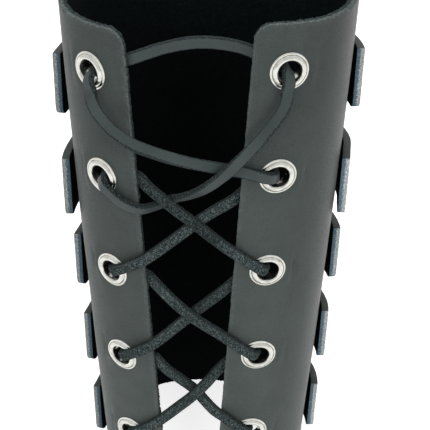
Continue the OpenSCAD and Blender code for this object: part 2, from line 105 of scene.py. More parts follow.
def ripple(x: float, y: float, z: float) -> float:
    """Smooth noise from -1 to 1 at a place, the same in every run."""
    return noise.noise(Vector((x, y, z)))


@dataclass(frozen=True)
class WrapForm:
    """The wrapped sheet's outline at every height, in millimetres."""

    left_h: float = 211.0
    right_rise: float = 2.5
    wrist_half_w: float = 42.5
    elbow_half_w: float = 53.6
    side_bulge: float = 0.7
    left_front_d: float = 55.4
    right_front_d: float = 46.8
    boxiness: float = 2.77
    widest_y: float = 2.1
    side_flat: float = 7.0
    back_d: float = 39.5
    thickness: float = 3.0
    corner_r: float = 6.0
    wrist_gap: float = 19.6
    elbow_gap: float = 43.6
    front_steps: int = 90
    back_steps: int = 160

    def half_w(self, z: float) -> float:
        """Half width over the sheet at height z."""
        t = z / self.left_h
        return mix(self.wrist_half_w, self.elbow_half_w, t) + self.side_bulge * 4 * t * (1 - t)

    def swell(self, z: float) -> float:
        """Size of the outline at height z, as a share of its size at the elbow end."""
        return self.half_w(z) / self.elbow_half_w

    def half_gap(self, z: float) -> float:
        """Half the width of the front gap at height z."""
        return mix(self.wrist_gap, self.elbow_gap, z / self.left_h) / 2

    def back_r(self, z: float) -> float:
        """Depth of the rounded back at height z."""
        return self.back_d * self.swell(z)

    def front_d(self, x: float, z: float) -> float:
        """Depth of the front at x, which runs from the left value to the right one over the gap.

        Args:
            x: Distance from the middle.
            z: Height.

        Returns:
            The depth in front of the widest line.
        """
        gap = self.half_gap(z)
        share = min(1.0, max(0.0, (x + gap) / (2 * gap)))
        return mix(self.left_front_d, self.right_front_d, share) * self.swell(z)

    def front_xy(self, x: float, z: float) -> np.ndarray:
        """Point of the front at x."""
        inner = 1 - (abs(x) / self.half_w(z)) ** self.boxiness
        return np.array([x, -self.front_d(x, z) * max(0.0, inner) ** (1 / self.boxiness)])

    def side_xy(self, side: Side, y: float, z: float) -> np.ndarray:
        """Point of a side wall at y, counted from the widest line.

        Args:
            side: The side.
            y: Distance behind the widest line, negative in front.
            z: Height.

        Returns:
            The point, as (x, y).
        """
        w = self.half_w(z)
        if y >= 0:
            return np.array([side.value * w, y])
        d = self.front_d(side.value * w, z)
        return np.array([side.value * w * (1 - (-y / d) ** self.boxiness) ** (1 / self.boxiness), y])

    def back_xy(self, turn: float, z: float) -> np.ndarray:
        """Point of the rounded back at an angle in degrees, from 180 on the left to 0."""
        a = math.radians(turn)
        return np.array([self.half_w(z) * math.cos(a), self.side_flat + self.back_r(z) * math.sin(a)])

    def outward(self, p: np.ndarray, z: float) -> np.ndarray:
        """Level direction out of the outline at p.

        Args:
            p: Point of the outline, as (x, y).
            z: Height.

        Returns:
            The direction, at length 1.
        """
        w = self.half_w(z)
        if p[1] < 0:
            d = self.front_d(p[0], z)
            e = self.boxiness - 1
            across = math.copysign((abs(p[0]) / w) ** e / w, p[0])
            return unit(np.array([across, -((-p[1] / d) ** e) / d]))
        if p[1] <= self.side_flat:
            return np.array([math.copysign(1.0, p[0]), 0.0])
        return unit(np.array([p[0] / (w * w), (p[1] - self.side_flat) / self.back_r(z) ** 2]))

    def lifted(self, p: np.ndarray, z: float, lift: float) -> np.ndarray:
        """Point of the outline moved out by lift, in the part's frame."""
        q = p + lift * self.outward(p, z)
        return np.array([q[0], self.widest_y + q[1], z])

    def on_front(self, x: float, z: float, lift: float) -> np.ndarray:
        """Point over the front at x, in the part's frame."""
        return self.lifted(self.front_xy(x, z), z, lift)

    def front_normal(self, x: float, z: float) -> np.ndarray:
        """Direction out of the leaning front at x.

        Args:
            x: Distance from the middle.
            z: Height.

        Returns:
            The direction, at length 1.
        """
        dz = 4.0
        up = self.on_front(x, z + dz, 0) - self.on_front(x, z - dz, 0)
        n = self.outward(self.front_xy(x, z), z)
        return unit(np.cross(up, np.cross([n[0], n[1], 0.0], up)))

    def top(self, share: float) -> float:
        """Height of the upper edge at a share of the way from the left edge to the right one."""
        return self.left_h + self.right_rise * share

    def walk(self, z: float) -> tuple[np.ndarray, np.ndarray]:
        """The outline at height z as a fine path from the left edge round the back.

        Args:
            z: Height.

        Returns:
            The distance walked at each point, and the points in the part's frame.
        """
        turns = {}
        for side in Side:
            edge = self.front_xy(side.value * self.half_gap(z), z)
            depth = self.front_d(side.value * self.half_w(z), z)
            start = math.atan2(-edge[1], abs(edge[0]))
            a = np.linspace(start, 0, self.front_steps)
            r = (np.cos(a) / self.half_w(z)) ** self.boxiness + (np.sin(a) / depth) ** self.boxiness
            r = r ** (-1 / self.boxiness)
            turns[side] = np.stack([side.value * r * np.cos(a), -r * np.sin(a)], axis=1)
        a = np.linspace(math.pi, 0, self.back_steps)
        back = np.stack(
            [self.half_w(z) * np.cos(a), self.side_flat + self.back_r(z) * np.sin(a)], axis=1)
        path = np.concatenate([turns[Side.LEFT], back, turns[Side.RIGHT][::-1]])
        path[:, 1] += self.widest_y
        steps = np.linalg.norm(np.diff(path, axis=0), axis=1)
        return np.concatenate([[0.0], np.cumsum(steps)]), path


@dataclass(frozen=True)
class EyeletForm:
    """Sizes of an eyelet and its washer, in millimetres."""

    pitch: float = 40.8
    top: float = 17.0
    left_inset: float = 13.3
    right_inset: float = 12.3
    hole_r: float = 4.0
    flange_r: float = 7.0
    crown_h: float = 1.5
    washer_t: float = 0.5
    roll_h: float = 0.7
    sink: float = 0.35

    def place(self, wrap: WrapForm, side: Side, row: int) -> tuple[float, float]:
        """X and height of an eyelet's axis on the front.

        Args:
            wrap: The sheet that the eyelet sits in.
            side: The flap.
            row: The row, counted from the elbow end.

        Returns:
            X and z of the hole on the outer face.
        """
        edge = wrap.left_h if side is Side.LEFT else wrap.left_h + wrap.right_rise
        z = edge - self.top - self.pitch * (row - 1)
        inset = self.left_inset if side is Side.LEFT else self.right_inset
        return side.value * (wrap.half_gap(z) + inset), z

    def grip(self, wrap: WrapForm) -> float:
        """Depth of the washer below the flange's seat."""
        return wrap.thickness - self.sink


@dataclass(frozen=True)
class PlateForm:
    """Sizes of the plates and their rivets, in millimetres."""

    end_h: float = 25.0
    first_z: float = 187.0
    pitch: float = 39.5
    left_reach: tuple[float, ...] = (19.0, 26.0, 16.0, 15.0, 14.0)
    right_reach: tuple[float, ...] = (-8.0, 6.0, -8.0, -5.0, -5.0)
    rise: float = 15.0
    drop: float = 3.0
    thickness: float = 3.0
    corner_r: float = 3.0
    gap: float = 0.3
    end_gap_top: tuple[float, float] = (1.8, 1.2)
    end_gap_bottom: tuple[float, float] = (2.7, 2.0)
    back_gap_top: float = 1.7
    overlap_room: float = 1.4
    full_turn: tuple[float, float] = (38.0, 25.0)
    first_climb: float = 8.0
    rivet_y: float = 2.0
    right_rivet_turn: float = 25.0
    right_span: float = 1.15
    rivet_drop: float = 9.0
    post_r: float = 1.65
    cap_r: float = 4.5
    cap_h: float = 1.5
    cap_sink: float = 0.3
    cap_gap: float = 0.1

    def top(self, k: int) -> float:
        """Height of the upper edge of plate k at its ends."""
        return self.first_z - self.pitch * (k - 1)

    def rivet_z(self, k: int) -> float:
        """Height of plate k's rivets."""
        return self.top(k) - self.rivet_drop

    def end_y(self, side: Side, k: int) -> float:
        """Distance of plate k's end behind the widest line."""
        return -(self.left_reach if side is Side.LEFT else self.right_reach)[k - 1]

    def cap_zone(self, side: Side) -> tuple[float, float]:
        """Where the plate lies close under a cap, from front to back, behind the widest line.

        Args:
            side: The side.

        Returns:
            The two distances.
        """
        if side is Side.LEFT:
            return self.rivet_y - self.cap_r, self.rivet_y + self.cap_r
        middle = WRAP.side_flat + WRAP.back_d * math.sin(math.radians(self.right_rivet_turn))
        return middle - self.right_span * self.cap_r, middle + self.right_span * self.cap_r

    def outer_seat(self) -> float:
        """Distance of an outer cap's flat side from the sheet's outer face."""
        return self.gap + self.thickness - self.cap_sink + self.cap_gap


WRAP = WrapForm()
EYELET = EyeletForm()
PLATE = PlateForm()


class Bench:
    """Blender's own operators, each used on one piece at a time."""

    @staticmethod
    def clear() -> None:
        """Leaves edit mode and selects nothing."""
        if bpy.context.object is not None and bpy.context.object.mode != "OBJECT":
            bpy.ops.object.mode_set(mode="OBJECT")
        bpy.ops.object.select_all(action="DESELECT")

    @staticmethod
    def take(piece: bpy.types.Object) -> None:
        """Makes a piece the only selected one, and the active one.

        Args:
            piece: The piece.
        """
        Bench.clear()
        piece.select_set(True)
        bpy.context.view_layer.objects.active = piece

    @staticmethod
    def named(name: str) -> bpy.types.Object:
        """Names the primitive that was just added, and its mesh.

        Args:
            name: The new name.

        Returns:
            The primitive.
        """
        piece = bpy.context.object
        piece.name = name
        piece.data.name = name
        return piece

    @staticmethod
    def grid(name: str, columns: int, rows: int) -> bpy.types.Object:
        """A flat blank of the given number of faces each way.

        Args:
            name: Its name.
            columns: Faces along X.
            rows: Faces along Y.

        Returns:
            The blank.
        """
        Bench.clear()
        bpy.ops.mesh.primitive_grid_add(x_subdivisions=columns, y_subdivisions=rows, size=1)
        return Bench.named(name)

    @staticmethod
    def lathe(name: str, profile: Sequence[tuple[float, float]], around: int) -> bpy.types.Object:
        """A ring turned to a closed profile of (radius, height) in millimetres.

        Args:
            name: Its name.
            profile: The closed profile.
            around: Sides of the ring.

        Returns:
            The ring.
        """
        Bench.clear()
        bpy.ops.mesh.primitive_torus_add(
            major_radius=1, minor_radius=0.25, major_segments=around, minor_segments=len(profile))
        piece = Bench.named(name)
        count = len(profile)
        for index, vertex in enumerate(piece.data.vertices):
            r, h = profile[index % count]
            turn = 2 * math.pi * (index // count) / around
            vertex.co = Vector((r * math.cos(turn), r * math.sin(turn), h)) * MM
        Bench.face_out(piece)
        return piece

    @staticmethod
    def dome(name: str, profile: Sequence[tuple[float, float]], around: int) -> bpy.types.Object:
        """A solid turned to a profile of (radius, height) whose two ends lie on the axis.

        Args:
            name: Its name.
            profile: The profile, in millimetres.
            around: Sides of the solid.

        Returns:
            The solid.
        """
        Bench.clear()
        bpy.ops.mesh.primitive_uv_sphere_add(segments=around, ring_count=len(profile) - 1, radius=1)
        piece = Bench.named(name)
        rings = len(profile) - 1
        for vertex in piece.data.vertices:
            level = round(math.acos(max(-1.0, min(1.0, vertex.co.z))) / math.pi * rings)
            r, h = profile[level]
            turn = math.atan2(vertex.co.y, vertex.co.x)
            vertex.co = Vector((r * math.cos(turn), r * math.sin(turn), h)) * MM
        Bench.face_out(piece)
        return piece

    @staticmethod
    def face_out(piece: bpy.types.Object) -> None:
        """Turns every face of a closed piece outwards.

        Args:
            piece: The piece.
        """
        Bench.take(piece)
        bpy.ops.object.mode_set(mode="EDIT")
        bpy.ops.mesh.select_all(action="SELECT")
        bpy.ops.mesh.normals_make_consistent(inside=False)
        bpy.ops.object.mode_set(mode="OBJECT")

    @staticmethod
    def smooth(piece: bpy.types.Object, degrees: float) -> None:
        """Shades a piece smooth, with an edge where faces meet at more than the angle."""
        Bench.take(piece)
        bpy.ops.object.shade_smooth_by_angle(angle=math.radians(degrees))

    @staticmethod
    def apply(piece: bpy.types.Object, kind: str, **settings: object) -> None:
        """Adds a modifier with these settings and applies it.

        Args:
            piece: The piece.
            kind: The modifier's type.
            **settings: Its own properties.
        """
        Bench.take(piece)
        modifier = piece.modifiers.new(kind.title(), kind)
        for key, value in settings.items():
            setattr(modifier, key, value)
        bpy.ops.object.modifier_apply(modifier=modifier.name)

    @staticmethod
    def join(pieces: Sequence[bpy.types.Object], name: str) -> bpy.types.Object:
        """Joins pieces into one under a name.

        Args:
            pieces: The pieces.
            name: The name of the whole.

        Returns:
            The joined piece.
        """
        Bench.take(pieces[0])
        for piece in pieces[1:]:
            piece.select_set(True)
        if len(pieces) > 1:
            bpy.ops.object.join()
        return Bench.named(name)

    @staticmethod
    def copy(piece: bpy.types.Object, name: str, place: Matrix) -> bpy.types.Object:
        """A copy with its own mesh, whose place goes into the mesh.

        Args:
            piece: The pattern.
            name: The copy's name.
            place: Where the copy goes, in metres.

        Returns:
            The copy.
        """
        Bench.take(piece)
        bpy.ops.object.duplicate(linked=False)
        made = Bench.named(name)
        made.data.transform(place)
        return made

    @staticmethod
    def drop(piece: bpy.types.Object) -> None:
        """Deletes a pattern or a cutter."""
        Bench.take(piece)
        bpy.ops.object.delete()


def points_of(piece: bpy.types.Object) -> np.ndarray:
    """A mesh's points in millimetres, one row each.

    Args:
        piece: The piece.

    Returns:
        The points.
    """
    co = np.empty(len(piece.data.vertices) * 3)
    piece.data.vertices.foreach_get("co", co)
    return co.reshape(-1, 3) / MM


def set_points(piece: bpy.types.Object, points: np.ndarray) -> None:
    """Writes points in millimetres back to a mesh."""
    piece.data.vertices.foreach_set("co", (points * MM).ravel())
    piece.data.update()


def keep_values(piece: bpy.types.Object, name: str, values: np.ndarray) -> None:
    """Keeps one number for each point of a piece, which its finish reads by the name."""
    layer = piece.data.attributes.new(name, "FLOAT", "POINT")
    layer.data.foreach_set("value", values.ravel().astype(np.float32))


@dataclass(frozen=True)
class Seat:
    """A place where metal is pressed into leather, and the axis that it is pressed along."""

    origin: np.ndarray
    axis: np.ndarray

    def matrix(self) -> Matrix:
        """Puts Z on the axis and the origin on the seat, in metres."""
        turn = Vector((0, 0, 1)).rotation_difference(Vector(self.axis))
        return Matrix.Translation(Vector(self.origin * MM)) @ turn.to_matrix().to_4x4()

    def press(self, points: np.ndarray, low: float, high: float, radius: float, reach: float) -> None:
        """Flattens leather under a flange and under what grips it from behind.

        Args:
            points: Points to move, in millimetres.
            low: Height of the flat bed behind, along the axis.
            high: Height of the flat bed in front.
            radius: Radius that is pressed flat.
            reach: Radius at which the leather is back in its own shape.
        """
        offset = points - self.origin
        height = offset @ self.axis
        distance = np.linalg.norm(offset - np.outer(height, self.axis), axis=1)
        middle = (low + high) / 2
        share = np.clip((reach - distance) / (reach - radius), 0, 1)
        share = share * share * (3 - 2 * share)
        near = (distance < reach) & (np.abs(height - middle) < PRESS_DEPTH)
        target = np.where(height > middle, high, low)
        points += np.outer(np.where(near, (target - height) * share, 0), self.axis)


def eyelet_seat(side: Side, row: int) -> Seat:
    """Seat of an eyelet's flange.

    Args:
        side: The flap.
        row: The row, counted from the elbow end.

    Returns:
        The seat.
    """
    x, z = EYELET.place(WRAP, side, row)
    axis = WRAP.front_normal(x, z)
    return Seat(WRAP.on_front(x, z, 0) - EYELET.sink * axis, axis)


def rivet_seat(side: Side, k: int) -> Seat:
    """Place of a rivet of plate k on the sheet's outer face.

    Args:
        side: The side.
        k: Number of the plate.

    Returns:
        The seat.
    """
    z = PLATE.rivet_z(k)
    if side is Side.LEFT:
        flat = WRAP.side_xy(side, PLATE.rivet_y, z)
    else:
        flat = WRAP.back_xy(PLATE.right_rivet_turn, z)
    out = WRAP.outward(flat, z)
    return Seat(WRAP.lifted(flat, z, 0), np.array([out[0], out[1], 0.0]))


def rounded_corner(a: float, b: float, radius: float) -> tuple[float, float]:
    """Rounds the corner of a blank, where a and b are distances from its two edges.

    Args:
        a: Distance from one edge.
        b: Distance from the other.
        radius: Radius of the corner.

    Returns:
        The two distances after the corner's square is drawn in to a quarter circle.
    """
    if a >= radius or b >= radius:
        return a, b
    p = Vector((radius - a, radius - b))
    drawn = p * (max(p.x, p.y) / p.length) if p.length > 1e-9 else p
    return radius - drawn.x, radius - drawn.y


def along_edge(length: float, corner: float, steps: int, count: int) -> np.ndarray:
    """Places of a blank's columns along its length, close together at the two corners.

    Args:
        length: Length of the blank.
        corner: Length of each corner's square.
        steps: Columns in each corner's square.
        count: Columns altogether.

    Returns:
        The distance of each of the count + 1 lines from the start.
    """
    near = np.linspace(0, corner, steps + 1)
    middle = np.linspace(corner, length - corner, count - 2 * steps + 1)
    return np.concatenate([near, middle[1:-1], length - near[::-1]])


def hole_cutter(piece: bpy.types.Object, seats: Sequence[Seat], radius: float, around: int
                ) -> bpy.types.Object:
    """Round punches set on the seats, joined into one cutter.

    Args:
        piece: The leather that the holes go through.
        seats: Where the holes go.
        radius: Radius of the holes, in millimetres.
        around: Sides of each punch.

    Returns:
        The cutter, whose faces carry the material of a cut.
    """
    punches = []
    for seat in seats:
        Bench.clear()
        bpy.ops.mesh.primitive_cylinder_add(
            vertices=around, radius=radius * MM, depth=PUNCH_LENGTH * MM)
        punch = Bench.named("punch")
        punch.data.transform(seat.matrix())
        punches.append(punch)
    cutter = Bench.join(punches, "punches")
    dress_leather(cutter, piece.data.materials[:])
    faces = cutter.data.polygons
    faces.foreach_set("material_index", [Skin.CUT.value] * len(faces))
    return cutter


def bore(piece: bpy.types.Object, seats: Sequence[Seat], radius: float, around: int) -> None:
    """Cuts round holes through a leather piece at the seats.

    Args:
        piece: The leather.
        seats: Where the holes go.
        radius: Radius of the holes.
        around: Sides of each hole.
    """
    cutter = hole_cutter(piece, seats, radius, around)
    Bench.apply(piece, "BOOLEAN", operation="DIFFERENCE", solver="EXACT", object=cutter)
    Bench.drop(cutter)


def dress_leather(piece: bpy.types.Object, skins: Sequence[bpy.types.Material]) -> None:
    """Gives a leather blank its grain, flesh, cut side and rounded outer edge, worn and with a painted
    highlight, in the order of Skin.
    """
    for skin in skins:
        piece.data.materials.append(skin)


@dataclass
class LeatherSheet:
    """The wrapped sheet, cut from flat leather and bent round the arm."""

    form: WrapForm
    columns: int = 208
    rows: int = 112
    corner_steps: int = 5
    wave: float = 0.3
    wave_length: float = 34.0
    round_outer: float = 0.5
    round_inner: float = 0.4
    rough: float = 0.4
    edge_cuts: int = 2
    flat_r: float = 7.4
    flat_reach: float = 13.0
    flange_room: float = 0.03
    hole_r: float = 4.6
    hole_sides: int = 48
    cap_room: float = 0.02
    cap_margin: float = 0.2
    cap_reach: float = 3.0
    walks: dict[float, tuple[np.ndarray, np.ndarray]] = field(default_factory=dict)
    places: dict[float, np.ndarray] = field(default_factory=dict)

    def walk(self, z: float) -> tuple[np.ndarray, np.ndarray]:
        """The outline's path, worked out once for each tenth of a millimetre of height.

        Args:
            z: Height.

        Returns:
            The distance walked at each point, and the points.
        """
        key = round(z, 1)
        if key not in self.walks:
            self.walks[key] = self.form.walk(key)
        return self.walks[key]

    def column_places(self, length: float) -> np.ndarray:
        """Distances of the columns along an edge, worked out once for each hundredth of a millimetre.

        Args:
            length: Length of the edge.

        Returns:
            The distance of each column from the left edge.
        """
        key = round(length, 2)
        if key not in self.places:
            self.places[key] = along_edge(length, self.form.corner_r, self.corner_steps, self.columns)
        return self.places[key]

    def lay(self, level: float, column: int) -> tuple[np.ndarray, float]:
        """Lays one point of the flat blank on the outline.

        Args:
            level: Its height as a share of the sheet's height there.
            column: Its column, counted from the left edge.

        Returns:
            The point, and its distance from the nearest edge.
        """
        f = self.form
        top = f.top(column / self.columns)
        z = level * top
        length = self.walk(z)[0][-1]
        a = float(self.column_places(length)[column])
        to_side, to_end = rounded_corner(min(a, length - a), min(z, top - z), f.corner_r)
        a = to_side if a < length / 2 else length - to_side
        z = to_end if z < top / 2 else top - to_end
        walked, path = self.walk(z)
        a *= walked[-1] / length
        x, y = (np.interp(a, walked, path[:, axis]) for axis in (0, 1))
        inward = ripple(a / self.wave_length, z / self.wave_length, 3.1) * 0.5 + 0.5
        out = f.outward(np.array([x, y - f.widest_y]), z)
        place = (x - out[0] * inward * self.wave, y - out[1] * inward * self.wave, z)
        return np.array(place), min(to_side, to_end)

    def spread(self, blank: bpy.types.Object) -> None:
        """Lays the flat blank on the outline, with its corners rounded and a slight waviness.

        Args:
            blank: A grid with a point for every column of every row.
        """
        share = self.form.corner_r / self.form.left_h
        levels = along_edge(1.0, share, self.corner_steps, self.rows)
        laid = [self.lay(level, column) for level in levels for column in range(self.columns + 1)]
        set_points(blank, np.array([place for place, _ in laid]))
        keep_values(blank, "rim", np.array([rim for _, rim in laid]))

    def build(self, skins: Sequence[bpy.types.Material]) -> bpy.types.Object:
        """Makes the sheet with its thickness, rounded edges and holes.

        Args:
            skins: The finishes in the order of Skin.

        Returns:
            The sheet.
        """
        sheet = Bench.grid("wrap_leather", self.columns, self.rows)
        dress_leather(sheet, skins)
        self.spread(sheet)
        finish_thickness(sheet, self.form.thickness, self.round_outer, self.round_inner,
                         self.edge_cuts, self.rough)
        points = points_of(sheet)
        eyelets = [eyelet_seat(side, row) for side in Side for row in ROWS]
        bed = self.flange_room - EYELET.grip(WRAP)
        for seat in eyelets:
            seat.press(points, bed, -self.flange_room, self.flat_r, self.flat_reach)
        rivets = [rivet_seat(side, k) for side in Side for k in PLATES]
        bed = self.cap_room - (WRAP.thickness - PLATE.cap_sink)
        for seat in rivets:
            seat.press(points, bed, 0.0, PLATE.cap_r + self.cap_margin, PLATE.cap_r + self.cap_reach)
        set_points(sheet, points)
        bore(sheet, eyelets, self.hole_r, self.hole_sides)
        bore(sheet, rivets, RIVET_HOLE_R, RIVET_HOLE_SIDES)
        Bench.smooth(sheet, LEATHER_ANGLE)
        return sheet


def finish_thickness(piece: bpy.types.Object, thickness: float, outer: float, inner: float, cuts: int,
                     rough: float) -> None:
    """Gives an outer skin its thickness inwards, rounds the cut edge and leaves it a little frayed.

    Args:
        piece: The skin, whose faces look outwards.
        thickness: Thickness in millimetres.
        outer: Width that is rounded off the edge's outer corner.
        inner: Width that is rounded off its inner corner.
        cuts: Points added between two points along the edge.
        rough: How far the fibres of the cut side stand out or in.
    """
    face_away(piece)
    count = len(piece.data.vertices)
    Bench.apply(piece, "SOLIDIFY", thickness=thickness * MM, offset=-1, use_even_offset=True,
                material_offset=Skin.FLESH.value, material_offset_rim=Skin.CUT.value)
    band = np.zeros(len(piece.data.vertices))
    band[:count] = 1
    keep_values(piece, "band", band)
    if cuts:
        select_edges(piece, Skin.GRAIN, Skin.FLESH)
        bpy.ops.mesh.subdivide(number_cuts=cuts, ngon=False)
        bpy.ops.object.mode_set(mode="OBJECT")
    round_edge(piece, Skin.GRAIN, outer, OUTER_SEGMENTS, Skin.RUBBED)
    round_edge(piece, Skin.FLESH, inner, INNER_SEGMENTS, Skin.CUT)
    fray(piece, rough)


def select_edges(piece: bpy.types.Object, *skins: Skin) -> None:
    """Selects the edges between the cut side and some skins, and leaves the piece in edit mode.

    Args:
        piece: The leather.
        *skins: The skins whose edge with the cut side is wanted.
    """
    Bench.take(piece)
    seen: dict[tuple[int, int], set[int]] = {}
    for face in piece.data.polygons:
        for key in face.edge_keys:
            seen.setdefault(key, set()).add(face.material_index)
    bpy.ops.object.mode_set(mode="EDIT")
    bpy.ops.mesh.select_mode(type="EDGE")
    bpy.ops.mesh.select_all(action="DESELECT")
    bpy.ops.object.mode_set(mode="OBJECT")
    wanted = [{skin.value, Skin.CUT.value} for skin in skins]
    for edge in piece.data.edges:
        edge.select = seen.get(edge.key) in wanted
    bpy.ops.object.mode_set(mode="EDIT")


def fray(piece: bpy.types.Object, rough: float) -> None:
    """Moves the points of the cut side by a fine noise.

    Args:
        piece: The leather.
        rough: How far a point moves, in millimetres.
    """
    cut = {v for face in piece.data.polygons
           if face.material_index in (Skin.CUT.value, Skin.RUBBED.value) for v in face.vertices}
    points = points_of(piece)
    noise.seed_set(FRAY_SEED)
    for v in cut:
        shake = noise.noise_vector(Vector(points[v].tolist()) / FRAY_LENGTH)
        points[v] += np.array(shake) * rough
    set_points(piece, points)


def face_away(piece: bpy.types.Object) -> None:
    """Turns a skin's faces round where they look at the middle of the part.

    Args:
        piece: The skin.
    """
    mesh = piece.data
    mesh.update()
    looks_out = sum(Vector((f.center.x, f.center.y, 0)).dot(f.normal) * f.area for f in mesh.polygons)
    if looks_out < 0:
        mesh.flip_normals()


def round_edge(piece: bpy.types.Object, skin: Skin, width: float, segments: int, finish: Skin) -> None:
    """Rounds the edge between a skin and the cut side of the leather.

    Args:
        piece: The leather.
        skin: The skin on one side of the edge.
        width: Width of the rounding in millimetres.
        segments: Faces across the rounding.
        finish: Surface that the rounding shows.
    """
    select_edges(piece, skin)
    bpy.ops.mesh.bevel(offset=width * MM, segments=segments, profile=0.5, affect="EDGES",
                       material=finish.value, clamp_overlap=True)
    bpy.ops.object.mode_set(mode="OBJECT")


@dataclass
class BackPlate:
    """One of the plates that overlap across the back, held by two rivets."""

    k: int
    form: PlateForm
    back_columns: int = 96
    side_columns: int = 16
    corner_columns: int = 5
    cap_columns: int = 8
    rows: int = 30
    round_outer: float = 0.55
    round_inner: float = 0.45
    rough: float = 0.1
    cap_margin: float = 0.2
    cap_reach: float = 2.5
    end_curl: float = 1.5

    def side_stations(self, side: Side) -> list[tuple[Side | None, float]]:
        """Columns of one side from its end to the back of the cap.

        Args:
            side: The side.

        Returns:
            Each column as the side and a distance behind the widest line, or as None and a turn of
            the back.
        """
        f = self.form
        end = f.end_y(side, self.k)
        front, back = f.cap_zone(side)
        places = list(np.linspace(end, end + f.corner_r, self.corner_columns + 1))
        places += list(np.linspace(end + f.corner_r, front, self.side_columns + 1)[1:])
        places += list(np.linspace(front, back, self.cap_columns + 1)[1:])
        stations: list[tuple[Side | None, float]] = []
        for y in places:
            if y <= WRAP.side_flat:
                stations.append((side, y))
            else:
                turn = self.turn_behind(y)
                stations.append((None, 180 - turn if side is Side.LEFT else turn))
        return stations

    @staticmethod
    def turn_behind(y: float) -> float:
        """Turn of the back at a distance behind the widest line."""
        return math.degrees(math.asin((y - WRAP.side_flat) / WRAP.back_d))

    def leave_turn(self, side: Side) -> float:
        """Turn of the back where the plate leaves a cap."""
        return self.turn_behind(max(WRAP.side_flat, self.form.cap_zone(side)[1]))

    def stations(self) -> list[tuple[Side | None, float]]:
        """Columns from the left end to the right one.

        Returns:
            The columns, as side_stations gives them.
        """
        start, end = 180 - self.leave_turn(Side.LEFT), self.leave_turn(Side.RIGHT)
        back = [(None, turn) for turn in np.linspace(start, end, self.back_columns + 1)[:-1]]
        return self.side_stations(Side.LEFT) + back + self.side_stations(Side.RIGHT)[::-1]

    def column(self, station: tuple[Side | None, float]) -> list[np.ndarray]:
        """Points of the outer face at a station, from its upper edge down.

        Args:
            station: A side and a distance behind the widest line, or None and a turn of the back.

        Returns:
            The points.
        """
        f = self.form
        wall, value = station
        side = wall or (Side.LEFT if value > 90 else Side.RIGHT)
        index = 0 if side is Side.LEFT else 1
        y = value if wall else WRAP.side_flat + WRAP.back_d * math.sin(math.radians(value))
        turn = 0.0 if wall else min(value, 180 - value)
        end, front = f.end_y(side, self.k), f.cap_zone(side)[0]
        ahead = y < front
        leave = self.leave_turn(side)
        start = f.first_climb if side is Side.LEFT else leave
        off = ((front - y) / (front - end)) ** self.end_curl if ahead else ease(
            (turn - leave) / f.full_turn[index])
        climb = ease((turn - start) / (90 - start))
        e = max(0.0, y - end)
        trim = f.corner_r - math.sqrt(e * (2 * f.corner_r - e)) if e < f.corner_r else 0.0
        top = f.top(self.k) + f.rise * climb
        bottom = f.top(self.k) - f.end_h - f.drop * climb + trim
        lean = (f.thickness + f.overlap_room) / f.pitch
        height = f.end_h + f.rise + f.drop
        column = []
        for j in range(self.rows + 1):
            t = j / self.rows
            z = mix(top, bottom, t)
            far = mix(f.end_gap_top[index], f.end_gap_bottom[index], t) if ahead else (
                f.back_gap_top + lean * height * t)
            q = WRAP.side_xy(wall, y, z) if wall else WRAP.back_xy(value, z)
            column.append(WRAP.lifted(q, z, mix(f.gap, far, off) + f.thickness))
        return column

    @staticmethod
    def grain_upper_edge(plate: bpy.types.Object) -> None:
        """Gives the cut faces along the upper edge the grain's finish, darker than the cut side.

        Args:
            plate: The plate.
        """
        for face in plate.data.polygons:
            if face.material_index in (Skin.CUT.value, Skin.RUBBED.value) and face.normal.z > 0.5:
                face.material_index = Skin.GRAIN.value

    def build(self, skins: Sequence[bpy.types.Material]) -> bpy.types.Object:
        """Makes the plate with its thickness, rounded edges and rivet holes.

        Args:
            skins: The finishes in the order of Skin.

        Returns:
            The plate.
        """
        stations = self.stations()
        plate = Bench.grid(f"plate_{self.k}_leather", self.rows, len(stations) - 1)
        dress_leather(plate, skins)
        points = np.array([self.column(s) for s in stations])
        set_points(plate, points.reshape(-1, 3))
        lines = (points[:, :1], points[:, -1:], points[:1], points[-1:])
        rim = np.min([np.linalg.norm(points - line, axis=2) for line in lines], axis=0)
        keep_values(plate, "rim", rim)
        f = self.form
        finish_thickness(plate, f.thickness, self.round_outer, self.round_inner, 0, self.rough)
        self.grain_upper_edge(plate)
        points = points_of(plate)
        seats = [rivet_seat(side, self.k) for side in Side]
        bed = f.gap + f.thickness - f.cap_sink
        for seat in seats:
            seat.press(points, f.gap, bed, f.cap_r + self.cap_margin, f.cap_r + self.cap_reach)
        set_points(plate, points)
        bore(plate, seats, RIVET_HOLE_R, RIVET_HOLE_SIDES)
        Bench.smooth(plate, LEATHER_ANGLE)
        return plate


